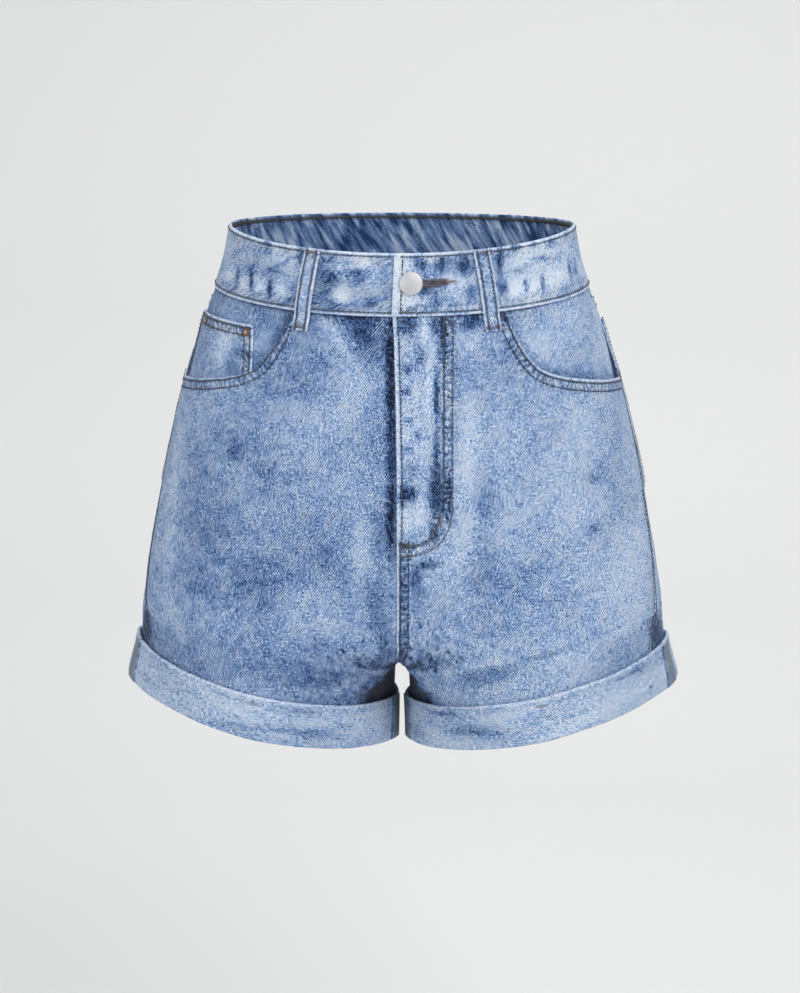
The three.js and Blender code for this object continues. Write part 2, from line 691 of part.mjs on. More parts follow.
// The zip behind the fly: two tapes and the closed chain as one piece, and the slider at its top
const ZIP_TOP = 49;
const ZIP_BOTTOM = 202;
const ZIP_TAPE_OUT = -1.6;
const ZIP_TAPE = 1.0;
const CHAIN_OUT = -0.1;
const CHAIN_FROM = 12.4;
const CHAIN_TO = 17.2;
const SLIDER_LENGTH = 11;
const SLIDER_OUT = 0.5;
const SLIDER_CROWN = 0.4;
const CHAIN_STEP = 0.3;
function flyZip() {
  const columns = [
    [-9, ZIP_TAPE_OUT], [0, ZIP_TAPE_OUT],
    [CHAIN_FROM, ZIP_TAPE_OUT], [CHAIN_FROM + CHAIN_STEP, CHAIN_OUT],
    [CHAIN_TO - CHAIN_STEP, CHAIN_OUT], [CHAIN_TO, ZIP_TAPE_OUT],
    [25, ZIP_TAPE_OUT], [35, ZIP_TAPE_OUT],
  ];
  const chainTop = ZIP_TOP + SLIDER_LENGTH + 1.5;
  const rowPlaces = [ZIP_TOP, chainTop - 0.4, chainTop, ...evenly(chainTop, ZIP_BOTTOM, 8).slice(1)];
  return sheet(rowPlaces.length, columns.length, (row, column, layer) => {
    const down = rowPlaces[row];
    const [along, height] = columns[column];
    const out = down < chainTop ? ZIP_TAPE_OUT : height;
    return cloth(down, along, layer ? ZIP_TAPE_OUT - ZIP_TAPE : out);
  });
}
function zipSlider() {
  const rowPlaces = evenly(ZIP_TOP + 0.8, ZIP_TOP + SLIDER_LENGTH, 3);
  const halfWidths = [4.2, 4.0, 3.0, 2.6];
  const middle = (CHAIN_FROM + CHAIN_TO) / 2;
  return sheet(rowPlaces.length, 4, (row, column, layer) => {
    const across = mix(-1, 1, column / 3) * halfWidths[row];
    const crown = column === 0 || column === 3 ? SLIDER_CROWN : 0;
    const out = layer ? ZIP_TAPE_OUT + SEAM_GAP : SLIDER_OUT - crown;
    return cloth(rowPlaces[row], middle + across, out);
  });
}

// Materials
const clothOf = (colour) => new THREE.MeshStandardMaterial({
  color: colour,
  roughness: 0.92,
  metalness: 0,
});
const FRONT_RIGHT_DENIM = clothOf(0x839abc);
const FRONT_LEFT_DENIM = clothOf(0x92a9c9);
const BACK_DENIM = clothOf(0x8aa1c2);
const BAND_DENIM = clothOf(0x96a7bf);
const FACING_DENIM = clothOf(0x8aa0c0);
const CUFF_DENIM = clothOf(0x93a8c4);
const BAG_COTTON = clothOf(0xd9d6cc);
const ZIP_TAPE_CLOTH = clothOf(0x5c6470);
const metalOf = (colour, roughness) => new THREE.MeshStandardMaterial({
  color: colour,
  roughness,
  metalness: 0.9,
});
const SILVER = metalOf(0xd0d2d5, 0.42);
const OLD_COPPER = metalOf(0x8a6f58, 0.5);

// The group of named pieces
const shorts = new THREE.Group();
function add(name, geometry, material) {
  const plain = geometry.clone();
  plain.deleteAttribute('normal');
  plain.deleteAttribute('uv');
  const merged = mergeVertices(plain, 1e-4);
  merged.computeVertexNormals();
  const mesh = new THREE.Mesh(merged, material);
  mesh.name = name;
  shorts.add(mesh);
  return mesh;
}

add('waistband', cut(waistband(), keyholeCutter()), BAND_DENIM);
for (const [wearer, side] of [['left', 1], ['right', -1]]) {
  add(`front_${wearer}`, frontPanel(side), side > 0 ? FRONT_LEFT_DENIM : FRONT_RIGHT_DENIM);
  add(`yoke_${wearer}`, backYoke(side), BACK_DENIM);
  add(`back_${wearer}`, backPanel(side), BACK_DENIM);
  add(`pocket_facing_${wearer}`, pocketFacing(side), FACING_DENIM);
  add(`pocket_bag_${wearer}`, pocketBag(side), BAG_COTTON);
  add(`back_pocket_${wearer}`, backPocket(side), BACK_DENIM);
  add(`cuff_${wearer}`, cuff(side), CUFF_DENIM);
  add(`belt_loop_front_${wearer}`, beltLoop(side, frontLoopAlong), BAND_DENIM);
  add(`belt_loop_back_${wearer}`, beltLoop(side, backLoopAlong), BAND_DENIM);
}
add('belt_loop_back_centre', beltLoop(1, wholeAt), BAND_DENIM);
add('coin_pocket', coinPocket(-1), FACING_DENIM);
add('fly_zip', flyZip(), ZIP_TAPE_CLOTH);
add('zip_slider', zipSlider(), SILVER);

const button = add('button', buttonShape(), SILVER);
placeOnBody(button, BUTTON_DOWN, BUTTON_ALONG, 0);
const RIVETS = [
  { name: 'rivet_inner', down: COIN_TOP + 5, along: COIN_INNER + 6 },
  { name: 'rivet_outer', down: COIN_TOP + 7, along: 170 },
];
for (const { name, down, along } of RIVETS) {
  const rivet = add(name, rivetShape(), OLD_COPPER);
  const seat = facingOut(down, along) + COIN_GAP + COIN_CLOTH + SEAM_GAP;
  placeOnBody(rivet, down, along, seat, -1);
}

export default shorts;
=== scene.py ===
# %% [markdown]
# # Denim shorts
# High-waist shorts of stone-washed denim, filled out as if someone wore them. The solids of the
# frame give the sizes. Here each cut piece is made again as a fine thin shell on the same form,
# with its folds, its worn edges, its thread and its washed twill.

# %% Load the frame
import json
import math

import bmesh
import bpy
import numpy as np
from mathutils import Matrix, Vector

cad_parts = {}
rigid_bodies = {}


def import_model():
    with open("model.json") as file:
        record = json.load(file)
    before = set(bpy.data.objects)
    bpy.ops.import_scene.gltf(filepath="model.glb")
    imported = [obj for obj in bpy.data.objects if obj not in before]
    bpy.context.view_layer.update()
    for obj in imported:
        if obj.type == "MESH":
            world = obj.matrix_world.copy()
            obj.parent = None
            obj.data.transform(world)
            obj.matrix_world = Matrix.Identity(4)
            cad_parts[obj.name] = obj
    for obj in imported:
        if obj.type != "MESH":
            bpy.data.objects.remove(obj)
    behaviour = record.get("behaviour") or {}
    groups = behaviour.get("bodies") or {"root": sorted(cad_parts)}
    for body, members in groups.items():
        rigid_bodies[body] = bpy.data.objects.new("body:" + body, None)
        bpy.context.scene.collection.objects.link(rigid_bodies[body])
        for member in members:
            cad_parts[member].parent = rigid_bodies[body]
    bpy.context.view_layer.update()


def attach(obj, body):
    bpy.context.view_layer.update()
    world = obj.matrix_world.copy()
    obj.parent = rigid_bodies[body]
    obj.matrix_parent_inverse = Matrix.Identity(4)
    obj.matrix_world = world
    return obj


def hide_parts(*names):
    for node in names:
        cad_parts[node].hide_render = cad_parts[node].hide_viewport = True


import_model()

# %% [markdown]
# ## Camera, floor and light
# The picture was taken from 2.5 m away, a little above the shorts and a little to their left side.
# A long lens keeps the form nearly free of perspective. A pale sweep stands in for the studio's
# floor and wall, and three wide soft lights give the even light of a shop picture.

# %% Camera
MM = 0.001
TARGET = Vector((-1.5, 0.0, -205.0)) * MM
CAMERA_DISTANCE = 2.5
CAMERA_TURN = math.radians(2.5)
CAMERA_RISE = math.radians(9.5)
FOCAL_PIXELS = 3340
IMAGE_HEIGHT = 993
back = Vector((
    math.sin(CAMERA_TURN) * math.cos(CAMERA_RISE),
    -math.cos(CAMERA_TURN) * math.cos(CAMERA_RISE),
    math.sin(CAMERA_RISE),
))
camera = bpy.data.objects.new("camera", bpy.data.cameras.new("camera"))
bpy.context.collection.objects.link(camera)
camera.location = TARGET + back * CAMERA_DISTANCE
camera.rotation_euler = (-back).to_track_quat("-Z", "Y").to_euler()
camera.data.sensor_width = 36
camera.data.lens = FOCAL_PIXELS * camera.data.sensor_width / IMAGE_HEIGHT
camera.data.clip_end = 50
bpy.context.scene.camera = camera
print("lens mm:", round(camera.data.lens, 1))

# %% Small helpers for tables, objects, colours and nodes


def named(columns, rows):
    """The rows of a table, each as a dictionary with the names of its columns."""
    return [dict(zip(columns, row)) for row in rows]


def linear(hex_colour):
    """An sRGB hex colour as linear RGBA."""
    channels = [int(hex_colour[k:k + 2], 16) / 255 for k in (1, 3, 5)]
    parts = [c / 12.92 if c <= 0.04045 else ((c + 0.055) / 1.055) ** 2.4 for c in channels]
    return (*parts, 1.0)


def new_object(name, mesh):
    thing = bpy.data.objects.new(name, mesh)
    bpy.context.collection.objects.link(thing)
    return thing


def add_node(tree, kind, inputs=None, **settings):
    """Adds a node, sets its properties, and sets or links its inputs."""
    node = tree.nodes.new(kind)
    for key, value in settings.items():
        setattr(node, key, value)
    for key, value in (inputs or {}).items():
        if isinstance(value, bpy.types.NodeSocket):
            tree.links.new(value, node.inputs[key])
        else:
            node.inputs[key].default_value = value
    return node


def new_material(name, settings):
    """A material with its node tree and its shader, and the shader's constants set."""
    material = bpy.data.materials.new(name)
    material.use_nodes = True
    shader = material.node_tree.nodes["Principled BSDF"]
    for key, setting in settings.items():
        shader.inputs[key].default_value = setting
    return material, material.node_tree, shader


# %% Floor and lights
sweep_profile = [(-4.0, 0.0), (1.2, 0.0), (1.7, 0.12), (2.1, 0.45), (2.3, 0.9), (2.35, 4.0)]
FLOOR_DROP = 0.75
sweep_mesh = bpy.data.meshes.new("studio_floor")
sweep_verts = [(x, y, z - FLOOR_DROP) for y, z in sweep_profile for x in (-6.0, 6.0)]
sweep_faces = [(2 * k, 2 * k + 1, 2 * k + 3, 2 * k + 2) for k in range(len(sweep_profile) - 1)]
sweep_mesh.from_pydata(sweep_verts, [], sweep_faces)
sweep_mesh.shade_smooth()
floor = new_object("studio_floor", sweep_mesh)
# Matt pale paint: the eye rests on nothing but a soft shadow.
floor_paint = new_material("matt_pale_paint", {
    "Base Color": linear("#e4e4e3"), "Roughness": 0.95})[0]
sweep_mesh.materials.append(floor_paint)

LIGHT_COLUMNS = ("name", "place", "size", "power")
LIGHTS = [
    ("key", (1.5, -2.2, 1.5), 1.6, 41),
    ("fill", (-1.9, -2.4, 0.5), 2.2, 22),
    ("top", (0.0, 0.2, 2.2), 2.0, 22),
    ("behind", (0.4, 1.7, 1.4), 1.2, 10),
]
for light in named(LIGHT_COLUMNS, LIGHTS):
    data = bpy.data.lights.new(light["name"], "AREA")
    data.size = light["size"]
    data.energy = light["power"]
    lamp = bpy.data.objects.new(light["name"], data)
    lamp.location = light["place"]
    lamp.rotation_euler = (Vector(light["place"]) - TARGET).to_track_quat("Z", "Y").to_euler()
    bpy.context.collection.objects.link(lamp)
world = bpy.data.worlds.new("studio")
world.use_nodes = True
world.node_tree.nodes["Background"].inputs["Color"].default_value = linear("#f2f4f6")
world.node_tree.nodes["Background"].inputs["Strength"].default_value = 0.53
bpy.context.scene.world = world
bpy.context.scene.view_settings.view_transform = "Standard"
print("lights:", len(LIGHTS))

# %% [markdown]
# ## The form of the body
# A tailor sees the shorts as a tube that divides into two. Each row of the table is the form at one
# distance down the side, and the height of each point falls towards the middle. A place on the
# cloth is then given as so far down and so far along from the centre front, in millimetres, and so
# far out of the surface. The solids of the frame come from the same table.

# %% Table of levels
LEVEL_COLUMNS = (
    "down", "side", "front", "back", "mid", "drop_front", "drop_back",
    "crease_front", "crease_back", "square", "inner_square", "seam",
)
LEVELS = np.array([
    (0, 126.5, 92, 92, 0, -14, 0, 0, 0, 2.10, 2.3, 0),
    (23, 131.0, 94, 96, 0, -14, 0, 0, 0, 2.12, 2.3, 0),
    (46, 138.0, 97, 101, 0, -13, -1, 0, 0, 2.15, 2.3, 0),
    (75, 148.5, 102, 111, 0, -12, -1, 0, 0, 2.20, 2.3, 1),
    (113, 161.0, 107, 122, 1, -12, -2, 0, 0.02, 2.25, 2.3, 4),
    (171, 175.0, 111, 131, 2, -14, -6, 0, 0.08, 2.30, 2.3, 13),
    (224, 185.5, 112, 129, 3, -18, -12, 0, 0.22, 2.30, 2.4, 23),
    (243, 189.0, 112, 126, 4, -23, -19, 0.17, 0.40, 2.28, 2.6, 27),
    (260, 191.5, 111, 122, 5, -30, -27, 0.44, 0.61, 2.22, 2.9, 32),
    (272, 193.5, 110, 119, 5, -36, -35, 0.75, 0.81, 2.12, 3.0, 37),
    (284, 195.0, 108, 116, 5, -41, -41, 1, 1, 2.00, 2.9, 41),
    (308, 196.8, 106, 111, 5, -46, -46, 1, 1, 1.74, 1.85, 46),
    (341, 200.5, 104, 108, 5, -47, -47, 1, 1, 1.64, 1.75, 48),
], dtype=float)
CLOTH, DOUBLE_CLOTH = 1.2, 2.4
HALF_GAP = 0.15
BAND_SEAM, CROTCH, CUFF_TOP, HEM = 46.0, 284.0, 308.0, 341.0
HEM_INNER_GAP, LEGS_PART_OVER = 5.8, 5.0


def smooth_curve(places, values):
    """One smooth monotone curve through a table of places and values."""
    places = np.asarray(places, float)
    values = np.asarray(values, float)
    slopes = np.diff(values) / np.diff(places)
    tangents = np.empty_like(values)
    tangents[0], tangents[-1] = slopes[0], slopes[-1]
    before, after = slopes[:-1], slopes[1:]
    total = np.where(before + after == 0, 1, before + after)
    tangents[1:-1] = np.where(before * after > 0, 2 * before * after / total, 0)

    def curve(place):
        place = np.asarray(place, float)
        k = np.clip(np.searchsorted(places, place) - 1, 0, len(places) - 2)
        step = places[k + 1] - places[k]
        t = np.clip((place - places[k]) / step, 0, 1)
        rest = 1 - t
        inside = ((1 + 2 * t) * rest * rest * values[k] + t * rest * rest * step * tangents[k]
                  + t * t * (3 - 2 * t) * values[k + 1] - t * t * rest * step * tangents[k + 1])
        low = np.minimum(place - places[0], 0) * tangents[0]
        high = np.maximum(place - places[-1], 0) * tangents[-1]
        return inside + low + high

    return curve


def smooth_step(start, end, value):
    t = np.clip((np.asarray(value, float) - start) / (end - start), 0, 1)
    return t * t * (3 - 2 * t)


def mix(a, b, t):
    return a + (b - a) * t


level_curves = {
    name: smooth_curve(LEVELS[:, 0], LEVELS[:, k])
    for k, name in enumerate(LEVEL_COLUMNS) if k
}
print("levels:", len(LEVELS))

# %% Sections of the body
ARC_STEPS = 140
DROP_POWER, LEG_DROP_POWER = 0.7, 0.82
LEG_DROP_FROM, LEG_DROP_TO = 120, 270
ROW_STEP = 10000.0


def sections(downs):
    """Half sections, one row of points for each height, and the lengths along them."""
    level = {name: curve(downs)[:, None] for name, curve in level_curves.items()}
    inner = HEM_INNER_GAP * smooth_step(CROTCH, CROTCH + LEGS_PART_OVER, downs)[:, None]
    leg_share = smooth_step(LEG_DROP_FROM, LEG_DROP_TO, downs)[:, None]
    span = level["side"] - inner
    halves = []
    for sign, face in ((-1, "front"), (1, "back")):
        crease = np.clip(level["crease_" + face], 0, 1)
        radius = span / (1 + crease)
        centre = inner + crease * radius
        turn = np.where(crease >= 1, np.pi, np.pi - np.arccos(crease ** (level["inner_square"] / 2)))
        share = np.linspace(0, 1, ARC_STEPS + 1)[None]
        angle = turn * (share if sign > 0 else 1 - share)
        cos, sin = np.cos(angle), np.abs(np.sin(angle))
        power = 2 / np.where(cos < 0, level["inner_square"], level["square"])
        x = centre + radius * np.sign(cos) * np.abs(cos) ** power
        y = level["mid"] + sign * (level[face] - sign * level["mid"]) * sin ** power
        across = np.clip((x - inner) / span, 0, 1)
        fall = mix((1 - across ** 2) ** DROP_POWER, (1 - across) ** LEG_DROP_POWER, leg_share)
        halves.append(np.stack([x, y, -downs[:, None] + level["drop_" + face] * fall], -1))
    points = np.concatenate([halves[0], halves[1][:, 1:]], 1)
    steps = np.linalg.norm(np.diff(points, axis=1), axis=2)
    lengths = np.concatenate([np.zeros((len(downs), 1)), np.cumsum(steps, 1)], 1)
    return points, lengths, lengths[:, ARC_STEPS] - level["seam"][:, 0]


def by_height(downs):
    """The different heights in an array, and which of them each entry has."""
    return np.unique(np.round(np.asarray(downs, float).ravel(), 4), return_inverse=True)


def seam_at(downs):
    rows, which = by_height(downs)
    return sections(rows)[2][which].reshape(np.shape(downs))


def whole_at(downs):
    rows, which = by_height(downs)
    return sections(rows)[1][:, -1][which].reshape(np.shape(downs))


def body_point(down, along):
    down, along = np.broadcast_arrays(np.asarray(down, float), np.asarray(along, float))
    rows, which = by_height(down)
    points, lengths, _ = sections(rows)
    place = along.ravel().astype(float)
    whole = lengths[:, -1][which]
    in_leg = rows[which] >= CROTCH
    place = np.where(in_leg, np.mod(place, whole), place)
    mirror = np.where((place < 0) | (place > whole), -1.0, 1.0)
    place = np.abs(place)
    place = np.where(place > whole, 2 * whole - place, place)
    flat = (lengths + np.arange(len(rows))[:, None] * ROW_STEP).ravel()
    spot = np.searchsorted(flat, place + which * ROW_STEP, side="right") - 1
    count = lengths.shape[1]
    column = np.clip(spot - which * count, 0, count - 2)
    low, high = lengths[which, column], lengths[which, column + 1]
    t = np.clip((place - low) / np.maximum(high - low, 1e-9), 0, 1)[:, None]
    result = mix(points[which, column], points[which, column + 1], t)
    result[:, 0] *= mirror
    return result.reshape(down.shape + (3,))


DIVIDES_FROM = 247.0


def body_normal(down, along):
    down, along = np.broadcast_arrays(np.asarray(down, float), np.asarray(along, float))
    dividing = (down > DIVIDES_FROM) & (down < CROTCH)
    before = np.where(dividing, np.maximum(along - 1, 0), along - 1)
    after = np.where(dividing, np.minimum(along + 1, whole_at(down)), along + 1)
    across = body_point(down, after) - body_point(down, before)
    seam = seam_at(down)
    along_above = along + seam_at(down - 1) - seam
    along_above = np.where(dividing | (down >= CROTCH) & (down < CROTCH + 1),
                           np.clip(along_above, 0, whole_at(down - 1)), along_above)
    upward = body_point(down - 1, along_above) - body_point(down + 1, along + seam_at(down + 1) - seam)
    normal = np.cross(across, upward)
    return normal / np.linalg.norm(normal, axis=-1, keepdims=True)


print("rim round mm:", round(2 * float(whole_at(0.0)), 1),
      "hip round mm:", round(2 * float(whole_at(171.0)), 1),
      "hem round mm:", round(float(whole_at(HEM)), 1))

# %% [markdown]
# ## Folds
# Denim is stiff, so it folds in a few long soft ridges and troughs. They are placed where the
# picture shows them, each as a straight line with its own height and width. The larger ones are
# in the solids too. The finer ones, and a slow unevenness of the whole cloth, are only here.

# %% Tables of folds
FOLD_COLUMNS = ("side", "from_down", "from_seam", "to_down", "to_seam", "height", "width")
LARGE_FOLDS = [
    (1, 168, 153, 244, 160, -2.2, 13),
    (1, 236, 158, 272, 203, -1.6, 10),
    (1, 272, 246, 312, 210, 1.5, 7),
    (1, 266, 162, 312, 148, -1.4, 14),
    (1, 56, 128, 112, 140, -0.9, 8),
    (1, 196, 14, 292, 13, 1.3, 9),
    (-1, 188, 190, 266, 224, 1.4, 10),
    (-1, 230, 176, 254, 218, -1.4, 8),
    (-1, 240, 140, 262, 190, 1.2, 9),
    (-1, 306, 180, 284, 210, -1.3, 8),
    (-1, 54, 140, 100, 190, -1.1, 7),
    (-1, 60, 124, 130, 172, 0.9, 8),
    (-1, 190, 15, 292, 14, 2.0, 7),
    (1, 252, -185, 302, -120, -1.8, 10),
    (1, 240, -60, 302, -48, -1.2, 12),
    (-1, 246, -178, 300, -105, -1.6, 11),
    (-1, 244, -72, 306, -66, 1.3, 12),
    (-1, 262, -200, 312, -150, 1.2, 9),
]
FINE_FOLDS = [
    (1, 278, 243, 309, 212, 1.0, 3),
    (1, 50, 158, 92, 176, -0.5, 4),
    (1, 52, 150, 84, 158, 0.4, 4),
    (-1, 50, 150, 84, 176, 0.6, 3),
    (-1, 50, 162, 78, 182, -0.6, 3),
    (-1, 272, 235, 309, 239, 1.0, 3),
    (-1, 205, 66, 296, 60, -0.9, 10),
    (1, 212, 84, 300, 92, -0.8, 10),
    (1, 128, 60, 220, 52, 0.6, 12),
    (-1, 120, 84, 196, 96, -0.7, 12),
    (1, 90, -170, 150, -188, -0.7, 9),
    (-1, 96, -182, 160, -190, -0.8, 8),
    (1, 236, -140, 292, -84, 0.8, 7),
    (-1, 240, -128, 290, -92, -0.8, 7),
]
FOLDS_FADE = (297, 308)


def folds_out(down, along, side):
    from_seam = seam_at(down) - along
    fade = 1 - smooth_step(*FOLDS_FADE, down)
    out = np.zeros_like(from_seam)
    for fold in named(FOLD_COLUMNS, LARGE_FOLDS + FINE_FOLDS):
        run_down = fold["to_down"] - fold["from_down"]
        run_seam = fold["to_seam"] - fold["from_seam"]
        off_down, off_seam = down - fold["from_down"], from_seam - fold["from_seam"]
        t = (off_down * run_down + off_seam * run_seam) / (run_down ** 2 + run_seam ** 2)
        t = np.clip(t, 0, 1)
        distance = np.hypot(off_down - t * run_down, off_seam - t * run_seam)
        height = fold["height"] * np.sin(np.pi * t) ** 0.7
        out += np.where(side == fold["side"], height * np.exp(-(distance / fold["width"]) ** 2), 0)
    return out * fade


WAVE_COLUMNS = ("across_mm", "down_mm", "phase", "height")
SLOW_WAVES = [
    (83, 140, 0.4, 0.20), (61, -190, 1.9, 0.16), (37, 88, 4.1, 0.10), (52, -47, 2.6, 0.09),
    (29, -71, 5.2, 0.06), (24, 33, 0.9, 0.05),
]


def uneven(down, along, side):
    """A slow unevenness of the cloth, quiet on the waistband."""
    out = np.zeros_like(along)
    for wave in named(WAVE_COLUMNS, SLOW_WAVES):
        turn = along * side / wave["across_mm"] + down / wave["down_mm"]
        out += wave["height"] * np.sin(2 * np.pi * turn + wave["phase"])
    return out * smooth_step(BAND_SEAM, BAND_SEAM + 25, down)


def cloth(down, along, out, side):
    """Points of a piece in millimetres: so far down, so far along, so far out of the body."""
    down, along, out, side = np.broadcast_arrays(
        *(np.asarray(value, float) for value in (down, along, out, side)))
    total = out + folds_out(down, along, side) + uneven(down, along, side)
    point = body_point(down, along) + body_normal(down, along) * total[..., None]
    point[..., 0] *= side
    return point


print("folds:", len(LARGE_FOLDS) + len(FINE_FOLDS))

# %% [markdown]
# ## Stone-washed denim
# Denim is a cotton twill: indigo-dyed yarns run up the leg over undyed ones, so fine diagonal lines
# show. Washing with stones takes the indigo off unevenly, which leaves a salt-and-pepper grain,
# pale clouds, and nearly white edges where the cloth is folded. The material adds these up as one
# number, how pale the cloth is drawn, and a colour ramp turns that into blue. Besides the indigo
# that is gone, this number carries painted shade: some of the placed patches, dark lines along the
# stitch rows for the shade in their sunk channels, and the pucker bars, which are partly wear on
# their ridges and partly painted light and shade. The pattern follows each piece's own UV map,
# which is in metres. The real twill lines are about 0.6 mm apart, too fine for this picture, so
# they are drawn 1.45 mm apart, as the picture shows them.

# %% The denim material
# Real twill lines are about 0.6 mm apart, too fine for the picture, so they are drawn coarser.
TWILL_SPACING = 1.45 * MM
TWILL_ANGLE = math.radians(50)
PUCKER_PITCH_MM = 4.8
DENIM_RAMP = [
    (0.00, "#10182b"), (0.14, "#2a4270"), (0.36, "#4f6d9b"), (0.58, "#7c96be"),
    (0.80, "#a7bddd"), (1.00, "#d6dfeb"),
]
TURN_UP_RAMP = [
    (0.00, "#18233c"), (0.14, "#3f5b8a"), (0.36, "#6683af"), (0.58, "#8fa8cc"),
    (0.80, "#b4c7e1"), (1.00, "#d9e2ee"),
]
REVERSE_RAMP = [(0.18, "#25406f"), (0.50, "#7391be"), (0.82, "#c3d2e6")]
NOISE_COLUMNS = ("name", "size_mm", "detail", "roughness", "distortion", "across", "upward")
NOISES = [
    ("grain", 1.15, 1.0, 0.50, 0.0, 1.00, 0.80),
    ("fleck", 2.9, 2.0, 0.55, 0.8, 1.00, 0.75),
    ("streak", 2.2, 1.0, 0.50, 0.3, 1.30, 0.35),
    ("patch", 12.0, 2.0, 0.55, 0.4, 1.00, 1.00),
    ("cloud", 50.0, 1.0, 0.50, 0.0, 1.00, 1.00),
    ("run", 6.0, 2.0, 0.60, 0.3, 1.00, 0.25),
]
RANGE_COLUMNS = ("name", "source", "from_min", "from_max")
RANGES = [
    ("speck", "fleck", 0.60, 0.76), ("twill_share", "patch", 0.38, 0.62),
    ("worn_edge", "edge_mm", 2.3, 0.9), ("first_row", "first_off", 1.4, 0.2),
    ("second_row", "second_off", 1.4, 0.2), ("pucker_from", "edge_mm", 2.0, 3.4),
    ("pucker_to", "edge_mm", 10.5, 7.5),
]
FIRST_ROW, SECOND_ROW, FAR_OFF = 2.6, 8.0, 99.0
STITCH_ROWS = {"first_off": FIRST_ROW, "second_off": SECOND_ROW}
RELIEF_WEIGHTS = {"twill_here": 0.4, "grain": 1.2, "fleck": 0.8, "puckers": 2.2}


